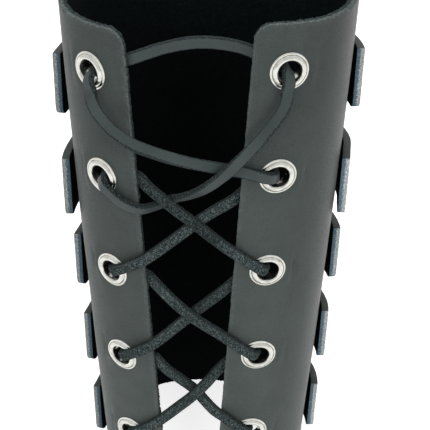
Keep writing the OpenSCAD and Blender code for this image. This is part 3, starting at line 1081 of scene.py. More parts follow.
@dataclass
class LacedEyelet:
    """A two-piece eyelet: a flanged barrel from outside, rolled over a washer inside."""

    form: EyeletForm
    around: int = 80
    step_r: float = 6.15
    barrel_r: float = 4.4

    def barrel(self) -> bpy.types.Object:
        """Turns the flange, its crown, the barrel and the rolled end in one piece.

        Returns:
            The eyelet, with Z along its axis and 0 at the flange's seat.
        """
        f = self.form
        under = f.grip(WRAP) + f.washer_t
        s = self.step_r
        rim = [(f.flange_r, 0.04), (f.flange_r + 0.04, 0.22), (f.flange_r - 0.05, 0.44),
               (6.78, 0.60), (6.55, 0.68), (s + 0.18, 0.70), (s + 0.08, 0.60)]
        step = [(s, 0.46), (s - 0.06, 0.60), (s - 0.14, 0.84)]
        crown = [(5.78, 1.08), (5.5, 1.30), (5.15, f.crown_h - 0.04), (4.8, f.crown_h),
                 (4.45, 1.36), (4.2, 1.08), (4.05, 0.7), (f.hole_r, 0.25)]
        bore_line = [(f.hole_r, -1.2), (f.hole_r, -under)]
        roll = [(4.12, -under - 0.38), (4.42, -under - 0.63), (4.78, -under - f.roll_h),
                (5.1, -under - 0.52), (5.28, -under - 0.22), (5.28, -under)]
        back = [(self.barrel_r, -under), (self.barrel_r, -1.2), (self.barrel_r, 0.0), (5.6, 0.02)]
        profile = rim + step + crown + bore_line + roll + back
        return Bench.lathe("eyelet_pattern", profile, self.around)

    def washer(self) -> bpy.types.Object:
        """Turns the flat ring behind the leather.

        Returns:
            The washer, in the eyelet's place.
        """
        grip = self.form.grip(WRAP)
        under = -grip - self.form.washer_t
        inner, outer = self.barrel_r + 0.03, self.form.flange_r
        front = [(inner, under + 0.03), (inner, -grip - 0.02), (inner + 0.1, -grip),
                 (outer - 0.15, -grip), (outer, -grip - 0.12)]
        back = [(outer, under + 0.15), (outer - 0.12, under + 0.03), (outer - 0.5, under),
                (5.6, under), (5.2, under + 0.01)]
        return Bench.lathe("washer_pattern", front + back, self.around)


@dataclass
class Rivets:
    """The two-part rivets that hold the plates at the sides."""

    form: PlateForm
    around: int = 48
    socket: float = 0.7
    dome_rings: int = 9
    rim_h: float = 0.4
    post_bevel: float = 0.15

    def cap(self, name: str) -> bpy.types.Object:
        """Turns a domed cap with its flat side at 0.

        Args:
            name: Its name.

        Returns:
            The cap.
        """
        r, h = self.form.cap_r, self.form.cap_h
        turns = [math.radians(a) for a in np.linspace(90, 0, self.dome_rings)]
        top = [(r * math.cos(a), self.rim_h + (h - self.rim_h) * math.sin(a)) for a in turns]
        top[0] = (0.0, h)
        under = [(r - 0.02, 0.14), (r - 0.2, 0.0), (r * 0.5, 0.0), (0.0, 0.0)]
        return Bench.dome(name, top + under, self.around)

    def outer_cap(self) -> bpy.types.Object:
        """The cap outside with its post, about the outer face of the sheet.

        Returns:
            The cap and the post as one piece.
        """
        cap = self.cap("rivet_cap_pattern")
        seat = self.form.outer_seat()
        cap.data.transform(Matrix.Translation((0, 0, seat * MM)))
        Bench.clear()
        height = WRAP.thickness - self.form.cap_sink + self.socket + seat
        bpy.ops.mesh.primitive_cylinder_add(
            vertices=self.around, radius=self.form.post_r * MM, depth=height * MM,
            location=(0, 0, (seat - height / 2) * MM))
        post = Bench.named("rivet_post_pattern")
        post.data.transform(Matrix.Translation(post.location))
        post.location = (0, 0, 0)
        Bench.apply(post, "BEVEL", width=self.post_bevel * MM, segments=2, limit_method="ANGLE")
        return Bench.join([cap, post], "rivet_pattern")

    def inner_cap(self) -> bpy.types.Object:
        """The cap inside, looking at the arm.

        Returns:
            The cap.
        """
        cap = self.cap("rivet_inner_pattern")
        cap.data.transform(Matrix.Translation((0, 0, -(WRAP.thickness - self.form.cap_sink) * MM))
                           @ Matrix.Rotation(math.pi, 4, "X"))
        return cap


@dataclass(frozen=True)
class Stop:
    """One stop of the lace's route.

    The hint is the lace's width direction where across is true, and otherwise the direction that its
    face looks in. Out is the direction that is seen, and face the side of the lace that shows there.
    """

    place: np.ndarray
    hint: np.ndarray
    across: bool
    out: np.ndarray
    face: Skin


@dataclass
class Lace:
    """The flat strip that laces the two flaps, from end to end."""

    width: float = 4.2
    thickness: float = 2.2
    gap: float = 0.35
    corner: float = 0.42
    corner_steps: int = 2
    flat_shares: tuple[float, ...] = (0.2, 0.4, 0.6, 0.8)
    ring_step: float = 0.8
    beside: tuple[float, ...] = (5.6, 3.3, 1.5, 0.2, 0.2, 1.5, 3.8, 7.0)
    dip: float = 0.2
    through: tuple[float, ...] = (1.3, -0.8, -2.6, -4.5)
    turned: tuple[float, ...] = (0.0, 0.0, 0.15, 0.4, 0.6, 0.85, 1.0, 1.0)
    behind: tuple[float, float] = (1.5, -5.4)
    clear: tuple[float, float] = (3.0, -4.5)
    reach: tuple[float, float] = (2.0, 1.7)
    onto: tuple[float, float] = (2.0, 2.1)
    slack: tuple[float, float] = (12.0, 5.0)
    left_landing: tuple[float, float] = (-11.5, 3.3)
    right_landing: tuple[float, float] = (8.0, -5.0)
    hang: tuple[float, float] = (2.0, -14.0)
    barrel_reach: float = 6.0
    barrel_room: float = 0.5
    uneven_width: float = 0.018
    width_wave: float = 9.0
    uneven_thickness: float = 0.02
    thickness_wave: float = 7.0
    ragged: float = 0.07
    ragged_wave: float = 0.9
    runs: dict[tuple[Side, int], tuple[float, float, float]] = field(default_factory=lambda: {
        (Side.LEFT, 2): (-0.8, -2.9, -1.3), (Side.RIGHT, 2): (-10, -5.5, -5.4),
        (Side.LEFT, 3): (-3, -1.4, 0.8), (Side.RIGHT, 3): (-9, -4, -3.2),
        (Side.LEFT, 4): (-2.5, -4.2, -3.5), (Side.RIGHT, 4): (-8, -1.2, 1)})
    bight: tuple[tuple[float, float, float], ...] = (
        (0.202, 5, -6.2), (0.343, 7.1, -9.5), (0.506, 8.2, -11.5), (0.67, 7.8, -10), (0.81, 6, -6.7))
    left_loop: tuple[tuple[float, float, float], ...] = (
        (0.064, 0.235, 5), (0.125, 0.392, 5.5), (0.233, 0.548, 5), (0.363, 0.666, 4),
        (0.532, 0.77, 3.5), (0.693, 0.862, 1.8), (0.824, 0.914, 2.3))
    right_loop: tuple[tuple[float, float, float], ...] = (
        (0.035, 0.242, 5.5), (0.112, 0.439, 7), (0.204, 0.632, 7), (0.312, 0.83, 6.2),
        (0.419, 0.995, 3.4), (0.534, 1.15, -3.6), (0.626, 1.23, -7.8), (0.703, 1.27, -6.2),
        (0.77, 1.19, 3.1), (0.849, 1.163, 2.7))
    left_tilt: tuple[float, ...] = (35, 45, 55, 55, 42, 25, 20)
    right_tilt: tuple[float, ...] = (40, 46, 12, -16, -32, -40, -44, -44, -40, -28)
    end_drop: tuple[tuple[float, float, float], ...] = ((2, -14, -5.3), (3, -22, -5))

    def free(self, p: Sequence[float], face: Skin, tilt: float = 0.0, aside: float = 0.0) -> Stop:
        """A stop over the front.

        Args:
            p: X, height and lift over the outer face.
            face: Side of the lace that looks outwards.
            tilt: Degrees that this side is turned up from level.
            aside: Sideways part of that turn.

        Returns:
            The stop.
        """
        flat = WRAP.front_xy(p[0], p[1])
        n = WRAP.outward(flat, p[1])
        out = np.array([n[0], n[1], 0.0])
        a = math.radians(tilt)
        hint = out * math.cos(a) + unit(np.array([aside, 0.0, 1.0])) * math.sin(a)
        return Stop(WRAP.lifted(flat, p[1], p[2]), hint, False, out, face)

    def at_eyelet(self, side: Side, row: int) -> np.ndarray:
        """An eyelet's place as (x, z)."""
        return np.array(EYELET.place(WRAP, side, row))

    def hole(self, side: Side, row: int, way: np.ndarray, step: tuple[float, float],
             face: Skin) -> Stop:
        """A stop beside or in an eyelet's hole.

        Args:
            side: The flap.
            row: The eyelet's row.
            way: Direction from the hole's axis, as (across, up).
            step: Distance that way, and height over the flange's seat.
            face: Side of the lace that looks outwards.

        Returns:
            The stop.
        """
        x, z = EYELET.place(WRAP, side, row)
        n = WRAP.front_normal(x, z)
        across = unit(np.cross([0, 0, 1], n))
        up = np.cross(n, across)
        d = unit(way)
        travel = d[0] * across + d[1] * up
        place = WRAP.on_front(x, z, 0) + travel * step[0] + n * (step[1] - EYELET.sink)
        return Stop(place, np.cross(n, travel), True, n, face)

    def into(self, side: Side, row: int, way_in: Sequence[float], way_out: Sequence[float],
             faces: tuple[Skin, Skin]) -> list[Stop]:
        """Stops from outside an eyelet, through it, to the inside.

        Args:
            side: The flap.
            row: The eyelet's row.
            way_in: Direction from the hole to the lace outside, as (across, up).
            way_out: Direction from the hole to the lace inside.
            faces: Side of the lace that looks outwards outside and inside.

        Returns:
            The eight stops, from outside to inside.
        """
        over = EYELET.crown_h + self.gap + self.thickness / 2
        under = EYELET.grip(WRAP) + EYELET.washer_t + EYELET.roll_h + self.gap + self.thickness / 2
        heights = (over, over - self.dip, *self.through, -under, -under)
        seen = (faces[0],) * 4 + (faces[1],) * 4
        a, b = unit(np.array(way_in, dtype=float)), unit(np.array(way_out, dtype=float))
        return [self.hole(side, row, a + (b - a) * share, step, face)
                for step, share, face in zip(zip(self.beside, heights), self.turned, seen)]

    def run_start(self, side: Side, row: int) -> np.ndarray:
        """Where a run comes out behind the edge of its flap, as (x, z)."""
        z = EYELET.place(WRAP, side, row)[1] + self.runs[side, row][0]
        return np.array([side.value * WRAP.half_gap(z), z])

    def crossing(self, side: Side, row: int, face: Skin) -> list[Stop]:
        """Stops of the run that leaves behind an edge and crosses to the next eyelet opposite.

        Args:
            side: The flap that it comes from.
            row: The row that it comes from.
            face: Side of the lace that looks outwards.

        Returns:
            The stops, from behind the edge to the far flap.
        """
        other = Side(-side.value)
        _, lift, middle = self.runs[side, row]
        a, b = self.run_start(side, row), self.at_eyelet(other, row + 1)
        c, d = self.run_start(other, row), self.at_eyelet(side, row + 1)
        u, v, w = b - a, d - c, c - a
        m = a + u * (w[0] * v[1] - w[1] * v[0]) / (u[0] * v[1] - u[1] * v[0])
        g = WRAP.half_gap(b[1])

        def at(x: float) -> np.ndarray:
            """Place on the run at x."""
            return np.array([x, a[1] + (b[1] - a[1]) * (x - a[0]) / (b[0] - a[0])])

        behind = at(a[0] + side.value * self.behind[0])
        clear = at(a[0] - side.value * self.clear[0])
        reach, onto = at(-side.value * (g - self.reach[0])), at(-side.value * (g + self.onto[0]))
        q, h = (clear + m) / 2, (m + reach) / 2
        stops = ((behind, self.behind[1]), (clear, self.clear[1]), (q, lift), (m, middle),
                 (h, (middle + self.reach[1]) / 2), (reach, self.reach[1]), (onto, self.onto[1]))
        return [self.free((p[0], p[1], up), face) for p, up in stops]

    def way_in(self, side: Side, row: int) -> np.ndarray:
        """Direction from an eyelet to the run that leaves behind its edge."""
        return self.run_start(side, row) - self.at_eyelet(side, row)

    def way_out(self, side: Side, row: int) -> np.ndarray:
        """Direction from an eyelet to the run that comes to it outside."""
        return self.run_start(Side(-side.value), row - 1) - self.at_eyelet(side, row)

    def loop(self, side: Side) -> list[tuple[float, float, float]]:
        """Points (x, z, lift) of the loose loop from a first eyelet to the second one opposite.

        Args:
            side: The flap of the first eyelet.

        Returns:
            The points.
        """
        a, b = self.at_eyelet(side, 1), self.at_eyelet(Side(-side.value), 2)
        shares = self.left_loop if side is Side.LEFT else self.right_loop
        return [(mix(a[0], b[0], x), mix(a[1], b[1], z), lift) for x, z, lift in shares]

    def half(self, side: Side) -> list[Stop]:
        """Stops from a first eyelet to the lace's end on the opposite way down.

        Args:
            side: The flap of the first eyelet.

        Returns:
            The stops, from the inside of the first eyelet on.
        """
        other = Side(-side.value)
        left = side is Side.LEFT
        tilts, landing = ((self.left_tilt, self.left_landing) if left
                          else (self.right_tilt, self.right_landing))
        loop = self.loop(side)
        slack = (-side.value * self.slack[0], self.slack[1])
        start = np.array(loop[0][:2]) - self.at_eyelet(side, 1)
        inside = (Skin.FLESH, Skin.FLESH)
        stops = self.into(side, 1, start, slack, (Skin.GRAIN, Skin.GRAIN))[::-1]
        stops += [self.free(p, Skin.GRAIN, tilt, -side.value) for p, tilt in zip(loop, tilts)]
        stops += self.into(other, 2, landing, self.way_in(other, 2), (Skin.GRAIN, Skin.FLESH))
        here = other
        for row in ROWS[1:-1]:
            stops += self.crossing(here, row, Skin.FLESH)
            here = Side(-here.value)
            last = row + 1 == ROWS[-1]
            hang = (-here.value * self.hang[0], self.hang[1])
            down = hang if last else self.way_in(here, row + 1)
            stops += self.into(here, row + 1, self.way_out(here, row + 1), down, inside)
        e = self.at_eyelet(here, ROWS[-1])
        return stops + [self.free((e[0] - here.value * x, e[1] + z, lift), Skin.FLESH)
                        for x, z, lift in self.end_drop]

    def route(self) -> list[Stop]:
        """All the stops, from one cut end to the other.

        Returns:
            The stops.
        """
        a, b = self.at_eyelet(Side.LEFT, 1), self.at_eyelet(Side.RIGHT, 1)
        bight = [self.free((mix(a[0], b[0], x), mix(a[1], b[1], x) + rise, lift), Skin.GRAIN)
                 for x, rise, lift in self.bight]
        return self.half(Side.LEFT)[::-1] + bight + self.half(Side.RIGHT)

    def sweep(self) -> tuple[np.ndarray, np.ndarray, np.ndarray, np.ndarray]:
        """Fine rings along the route.

        Returns:
            The places, the width directions, the face directions, and 1 where the grain is on the
            face's side and -1 where it is on the other.
        """
        stops = self.route()
        places = np.array([s.place for s in stops])
        count = len(stops)
        steps = np.diff(places, axis=0)
        steps /= np.linalg.norm(steps, axis=1)[:, None]
        along = np.array([unit((steps[i - 1] if i else 0) + (steps[i] if i < count - 1 else 0))
                          for i in range(count)])
        widths = np.zeros((count, 3))
        for i, stop in enumerate(stops):
            w = stop.hint if stop.across else np.cross(stop.hint, along[i])
            w = unit(w - (w @ along[i]) * along[i])
            widths[i] = -w if i and w @ widths[i - 1] < 0 else w
        faces = np.cross(along, widths)
        stretch = self.stretches(stops)
        grain = np.zeros(count)
        for part in set(stretch):
            here = [i for i in range(count) if stretch[i] == part]
            seen = sum(float(faces[i] @ stops[i].out) for i in here)
            sign = 1.0 if seen > 0 else -1.0
            for i in here:
                grain[i] = sign if stops[i].face is Skin.GRAIN else -sign
        return self.refine(places, widths, grain)

    def stretches(self, stops: Sequence[Stop]) -> list[int]:
        """Number of the stretch between two barrels that each stop belongs to.

        Args:
            stops: All the stops.

        Returns:
            One number for each stop.
        """
        number = 0
        numbers = []
        for i, stop in enumerate(stops):
            if i and stop.across and stops[i - 1].across:
                depth = (stop.place - stops[i - 1].place) @ stop.out
                inside = self.in_barrel(stop) and self.in_barrel(stops[i - 1])
                number += 1 if inside and abs(depth) > 1 else 0
            numbers.append(number)
        return numbers

    def in_barrel(self, stop: Stop) -> bool:
        """Whether a stop lies in a barrel, close to its axis.

        Args:
            stop: The stop.

        Returns:
            True in a barrel.
        """
        return any(np.linalg.norm(np.cross(stop.place - s.origin, s.axis)) < self.barrel_room
                   for s in (eyelet_seat(side, row) for side in Side for row in ROWS)
                   if np.linalg.norm(stop.place - s.origin) < self.barrel_reach)

    def refine(self, places: np.ndarray, widths: np.ndarray, grain: np.ndarray
               ) -> tuple[np.ndarray, np.ndarray, np.ndarray, np.ndarray]:
        """Puts a smooth curve through the stops.

        Args:
            places: The stops' places.
            widths: Their width directions.
            grain: Their grain side.

        Returns:
            The same for fine rings, with the face directions.
        """
        n = len(places)
        fine_p, fine_w, fine_g = [], [], []
        for i in range(n - 1):
            p0 = places[i - 1] if i else 2 * places[0] - places[1]
            p3 = places[i + 2] if i + 2 < n else 2 * places[-1] - places[-2]
            p1, p2 = places[i], places[i + 1]
            d0, d1, d2 = (max(1e-6, np.linalg.norm(b - a)) ** 0.5
                          for a, b in ((p0, p1), (p1, p2), (p2, p3)))
            m1 = (p2 - p1) / d1 - (p2 - p0) / (d0 + d1) + (p1 - p0) / d0
            m2 = (p2 - p1) / d1 - (p3 - p1) / (d1 + d2) + (p3 - p2) / d2
            steps = max(2, int(round(np.linalg.norm(p2 - p1) / self.ring_step)))
            for s in range(steps):
                t = s / steps
                h00, h10 = 2 * t ** 3 - 3 * t * t + 1, t ** 3 - 2 * t * t + t
                h01, h11 = -2 * t ** 3 + 3 * t * t, t ** 3 - t * t
                fine_p.append(h00 * p1 + h10 * d1 * m1 + h01 * p2 + h11 * d1 * m2)
                fine_w.append(widths[i] * (1 - t) + widths[i + 1] * t)
                fine_g.append(grain[i] if t < 0.5 else grain[i + 1])
        fine_p.append(places[-1])
        fine_w.append(widths[-1])
        fine_g.append(grain[-1])
        p, w = np.array(fine_p), np.array(fine_w)
        along = np.gradient(p, axis=0)
        along /= np.linalg.norm(along, axis=1)[:, None]
        w -= np.sum(w * along, axis=1)[:, None] * along
        w /= np.linalg.norm(w, axis=1)[:, None]
        return p, w, np.cross(along, w), np.array(fine_g)

    def section(self) -> list[tuple[float, float, int]]:
        """Points round the strip as (across, up, which side the face after it shows).

        Returns:
            The points, with 1 for the face's side, -1 for the other and 0 for a cut side.
        """
        w, t, c = self.width / 2, self.thickness / 2, self.corner
        points = []
        corners = ((1, 1, 1), (-1, 1, 0), (-1, -1, -1), (1, -1, 0))
        for turn, (sx, sy, side) in enumerate(corners):
            for step in range(self.corner_steps + 1):
                a = math.radians(90 * (turn + step / self.corner_steps))
                shown = side if step == self.corner_steps else 0
                points.append((sx * (w - c) + c * math.cos(a), sy * (t - c) + c * math.sin(a), shown))
            if side:
                points += [(sx * (w - c) * (1 - 2 * share), sy * t, side) for share in self.flat_shares]
            else:
                points.append((sx * w, 0.0, 0))
        return points

    def rings(self, walked: np.ndarray, p: np.ndarray, w: np.ndarray, f: np.ndarray) -> np.ndarray:
        """Points of the strip's rings, with slightly uneven width, thickness and edges.

        Args:
            walked: Length of the lace up to each ring.
            p: The rings' places.
            w: Their width directions.
            f: Their face directions.

        Returns:
            The points by ring and place in the section.
        """
        section = self.section()
        side_x = self.width / 2 - self.corner - 0.01
        points = np.zeros((len(p), len(section), 3))
        for i, arc in enumerate(walked):
            wide = 1 + self.uneven_width * ripple(arc / self.width_wave, 1.7, 0)
            thick = 1 + self.uneven_thickness * ripple(arc / self.thickness_wave, 5.2, 0)
            for k, (x, y, _) in enumerate(section):
                shake = ripple(arc / self.ragged_wave, k * 0.9, 2.2)
                ragged = self.ragged * shake if abs(x) > side_x else 0
                grow = ragged * math.copysign(1, x)
                points[i, k] = p[i] + (x * wide + grow) * w[i] + y * thick * f[i]
        return points

    def unroll(self, mesh: bpy.types.Mesh, walked: np.ndarray, sides: int) -> None:
        """Lays the strip flat in its UV map, in metres.

        Args:
            mesh: The strip, whose last two faces are its cut ends.
            walked: Length of the lace up to each ring.
            sides: Points of a ring.
        """
        girth = np.linspace(0, 2 * (self.width + self.thickness), sides + 1)
        uv = mesh.uv_layers.new(name="strip")
        for face in mesh.polygons:
            wraps = face.index < len(mesh.polygons) - 2 and face.index % sides == sides - 1
            for loop in face.loop_indices:
                i, k = divmod(mesh.loops[loop].vertex_index, sides)
                around = girth[-1] if wraps and k == 0 else girth[k]
                uv.data[loop].uv = (walked[i] * MM, around * MM)

    def build(self, skins: Sequence[bpy.types.Material]) -> bpy.types.Object:
        """Makes the strip as one closed mesh.

        Args:
            skins: The finishes in the order of Skin.

        Returns:
            The lace.
        """
        p, w, f, grain = self.sweep()
        walked = np.concatenate([[0.0], np.cumsum(np.linalg.norm(np.diff(p, axis=0), axis=1))])
        shows = [side for _, _, side in self.section()]
        sides = len(shows)
        points = self.rings(walked, p, w, f)
        faces = []
        shown = []
        for i in range(len(p) - 1):
            for k, side in enumerate(shows):
                a, b = i * sides + k, i * sides + (k + 1) % sides
                faces.append((a, b, b + sides, a + sides))
                shown.append(Skin.CUT if not side else Skin.GRAIN if side == grain[i] else Skin.FLESH)
        faces.append(tuple(range(sides))[::-1])
        faces.append(tuple((len(p) - 1) * sides + k for k in range(sides)))
        shown += [Skin.CUT, Skin.CUT]
        mesh = bpy.data.meshes.new("lace_leather")
        mesh.from_pydata((points.reshape(-1, 3) * MM).tolist(), [], faces)
        self.unroll(mesh, walked, sides)
        lace = bpy.data.objects.new("lace_leather", mesh)
        dress_leather(lace, skins)
        mesh.polygons.foreach_set("material_index", [s.value for s in shown])
        bpy.context.collection.objects.link(lace)
        Bench.face_out(lace)
        Bench.smooth(lace, LACE_ANGLE)
        LOG.info("lace: %d rings, %.0f mm long", len(p), walked[-1])
        return lace


Color = tuple[float, float, float]
WHITE: Color = (1.0, 1.0, 1.0)


def rgba(color: Color) -> tuple[float, float, float, float]:
    """The colour with full opacity."""
    return (color[0], color[1], color[2], 1.0)


class NodeDesk:
    """Lays out the nodes of a material or of a shared group."""

    def __init__(self, tree: bpy.types.NodeTree) -> None:
        """Starts on a tree."""
        self.tree = tree

    @staticmethod
    def fresh(owner: bpy.types.Material | bpy.types.World) -> "NodeDesk":
        """Starts on a material's or a world's own tree.

        Args:
            owner: The material or the world.

        Returns:
            The desk, with nothing on it.
        """
        owner.use_nodes = True
        owner.node_tree.nodes.clear()
        return NodeDesk(owner.node_tree)

    def feed(self, socket: bpy.types.NodeSocket, value: object) -> None:
        """Links an output to a socket, or sets the socket's value.

        Args:
            socket: The input.
            value: An output or a plain value.
        """
        if isinstance(value, bpy.types.NodeSocket):
            self.tree.links.new(value, socket)
        else:
            socket.default_value = value

    def add(self, kind: str, inputs: dict[str | int, object] | None = None, **settings: object
            ) -> bpy.types.Node:
        """Adds a node.

        Args:
            kind: Its Blender name, without the ShaderNode prefix.
            inputs: For each input, a value or the output that feeds it.
            **settings: The node's own properties.

        Returns:
            The node.
        """
        node = self.tree.nodes.new("ShaderNode" + kind)
        for key, value in settings.items():
            setattr(node, key, value)
        for key, value in (inputs or {}).items():
            self.feed(node.inputs[key], value)
        return node

    def noise(self, vector: object, scale: object, detail: float = 2.0, rough: float = 0.5
              ) -> bpy.types.NodeSocket:
        """Noise from 0 to 1 at a scale."""
        inputs = {"Vector": vector, "Scale": scale, "Detail": detail, "Roughness": rough}
        return self.add("TexNoise", inputs).outputs["Fac"]

    def cells(self, vector: object, scale: object, feature: str = "F1") -> bpy.types.NodeSocket:
        """Distances in a pattern of cells."""
        node = self.add("TexVoronoi", {"Vector": vector, "Scale": scale}, feature=feature)
        return node.outputs["Distance"]

    def spread(self, value: object, low: float, high: float, bottom: float = 0.0, top: float = 1.0
               ) -> bpy.types.NodeSocket:
        """Spreads the part of a value between low and high over bottom to top, and clamps it."""
        inputs = {"Value": value, "From Min": low, "From Max": high, "To Min": bottom, "To Max": top}
        return self.add("MapRange", inputs).outputs["Result"]

    def calc(self, operation: str, a: object, b: object = 0.0) -> bpy.types.NodeSocket:
        """A sum, product or other operation on two values."""
        return self.add("Math", {0: a, 1: b}, operation=operation).outputs[0]

    def blend(self, share: object, a: object, b: object) -> bpy.types.NodeSocket:
        """A colour between two colours.

        Args:
            share: Share of the second colour.
            a: First colour.
            b: Second colour.

        Returns:
            The colour.
        """
        node = self.add("Mix", data_type="RGBA")
        for index, value in ((0, share), (6, a), (7, b)):
            self.feed(node.inputs[index], value)
        return node.outputs[2]

    def stretch(self, vector: object, scale: tuple[float, float, float]) -> bpy.types.NodeSocket:
        """The vector with each axis scaled."""
        return self.add("Mapping", {"Vector": vector, "Scale": scale}).outputs["Vector"]

    def vectors(self, operation: str, a: object, b: object) -> bpy.types.NodeSocket:
        """A sum or difference of two vectors or colours, or one scaled by a value."""
        inputs = {0: a, "Scale" if operation == "SCALE" else 1: b}
        return self.add("VectorMath", inputs, operation=operation).outputs["Vector"]

    def warp(self, vector: object, scale: float, amount: float) -> bpy.types.NodeSocket:
        """The vector shaken by noise, so that a pattern on it isn't even.

        Args:
            vector: The vector.
            scale: Scale of the noise.
            amount: How far it shakes, in metres.

        Returns:
            The shaken vector.
        """
        sockets = {"Vector": vector, "Scale": scale, "Detail": 2.0}
        shake = self.add("TexNoise", sockets).outputs["Color"]
        centred = self.vectors("SUBTRACT", shake, (0.5, 0.5, 0.5))
        return self.vectors("ADD", vector, self.vectors("SCALE", centred, amount))


class SharedGroup(NodeDesk):
    """A node group with named inputs and outputs, built once and used in several finishes."""

    def __init__(self, name: str, inputs: dict[str, object], outputs: Sequence[str]) -> None:
        """Opens a group.

        Args:
            name: Its name.
            inputs: Each input with its default, a number or a vector.
            outputs: Names of the outputs, each a number.
        """
        super().__init__(bpy.data.node_groups.new(name, "ShaderNodeTree"))
        for key, value in inputs.items():
            kind = "NodeSocketVector" if isinstance(value, tuple) else "NodeSocketFloat"
            socket = self.tree.interface.new_socket(key, in_out="INPUT", socket_type=kind)
            socket.default_value = value
        for key in outputs:
            self.tree.interface.new_socket(key, in_out="OUTPUT", socket_type="NodeSocketFloat")
        self.given = self.tree.nodes.new("NodeGroupInput").outputs
        self.result = self.tree.nodes.new("NodeGroupOutput").inputs

    def give(self, **values: bpy.types.NodeSocket) -> None:
        """Links the group's outputs."""
        for key, value in values.items():
            self.tree.links.new(value, self.result[key])


class LeatherPatterns:
    """The surface patterns that the finishes share."""

    def __init__(self) -> None:
        """Builds every group once."""
        self.grain = self.make_grain()
        self.nap = self.make_nap()
        self.fibre = self.make_fibre()
        self.handling = self.make_handling()

    @staticmethod
    def make_grain() -> bpy.types.NodeTree:
        """Pebbled grain: domed cells of uneven size, parted by creases.

        Returns:
            The group.
        """
        g = SharedGroup("leather grain", {"Vector": (0.0, 0.0, 0.0), "Cells": 950.0},
                        ("Height", "Crease"))
        v = g.warp(g.given["Vector"], 700.0, 0.0009)
        edge = g.cells(v, g.given["Cells"], "DISTANCE_TO_EDGE")
        fine = g.cells(v, g.calc("MULTIPLY", g.given["Cells"], 2.3), "DISTANCE_TO_EDGE")
        pebble = g.spread(edge, 0.0, 0.16)
        small = g.spread(fine, 0.0, 0.2)
        dust = g.noise(v, 5200.0, 3.0, 0.65)
        height = g.calc("ADD", g.calc("MULTIPLY", pebble, 0.55), g.calc("MULTIPLY", small, 0.2))
        height = g.calc("ADD", height, g.calc("MULTIPLY", dust, 0.35))
        # Crease mask, used for painted shade in the colour and for a rougher surface.
        crease = g.calc("SUBTRACT", 1.0, pebble)
        g.give(Height=height, Crease=crease)
        return g.tree

    @staticmethod
    def make_nap() -> bpy.types.NodeTree:
        """Short nap of the flesh side: soft clumps with loose fibre ends.

        Returns:
            The group.
        """
        g = SharedGroup("leather nap", {"Vector": (0.0, 0.0, 0.0), "Clumps": 900.0},
                        ("Height", "Specks"))
        v = g.warp(g.given["Vector"], 1500.0, 0.0006)
        clump = g.noise(v, g.given["Clumps"], 3.0, 0.6)
        strand = g.noise(g.stretch(v, (0.6, 1.3, 1.0)), 3000.0, 3.0, 0.75)
        height = g.calc("ADD", g.calc("MULTIPLY", clump, 0.6), g.calc("MULTIPLY", strand, 0.5))
        specks = g.spread(g.calc("ADD", strand, g.calc("MULTIPLY", clump, 0.35)), 0.66, 0.84)
        g.give(Height=height, Specks=specks)
        return g.tree

    @staticmethod
    def make_fibre() -> bpy.types.NodeTree:
        """Cut side of the leather: packed fibre ends, pale and dark.

        Returns:
            The group.
        """
        g = SharedGroup("cut fibres", {"Vector": (0.0, 0.0, 0.0), "Ends": 1900.0},
                        ("Height", "Specks"))
        v = g.warp(g.given["Vector"], 2200.0, 0.0004)
        ends = g.noise(v, g.given["Ends"], 4.0, 0.75)
        pits = g.cells(v, g.calc("MULTIPLY", g.given["Ends"], 0.9))
        height = g.calc("ADD", ends, g.calc("MULTIPLY", pits, 0.5))
        g.give(Height=height, Specks=g.spread(ends, 0.5, 0.62))
        return g.tree

    @staticmethod
    def make_handling() -> bpy.types.NodeTree:
        """Broad clouds of tone, and wear that gathers towards the edges.

        Returns:
            The group.
        """
        g = SharedGroup("handling", {"Vector": (0.0, 0.0, 0.0), "Rim": 0.008, "Reach": 5.0},
                        ("Cloud", "Wear"))
        cloud = g.noise(g.given["Vector"], 38.0, 4.0, 0.6)
        scuff = g.noise(g.given["Vector"], 420.0, 5.0, 0.7)
        near = g.calc("SUBTRACT", 1.0, g.calc("DIVIDE", g.given["Rim"], g.given["Reach"]))
        wear = g.spread(g.calc("MULTIPLY", g.calc("MAXIMUM", near, 0.0), scuff), 0.32, 0.62)
        g.give(Cloud=cloud, Wear=wear)
        return g.tree


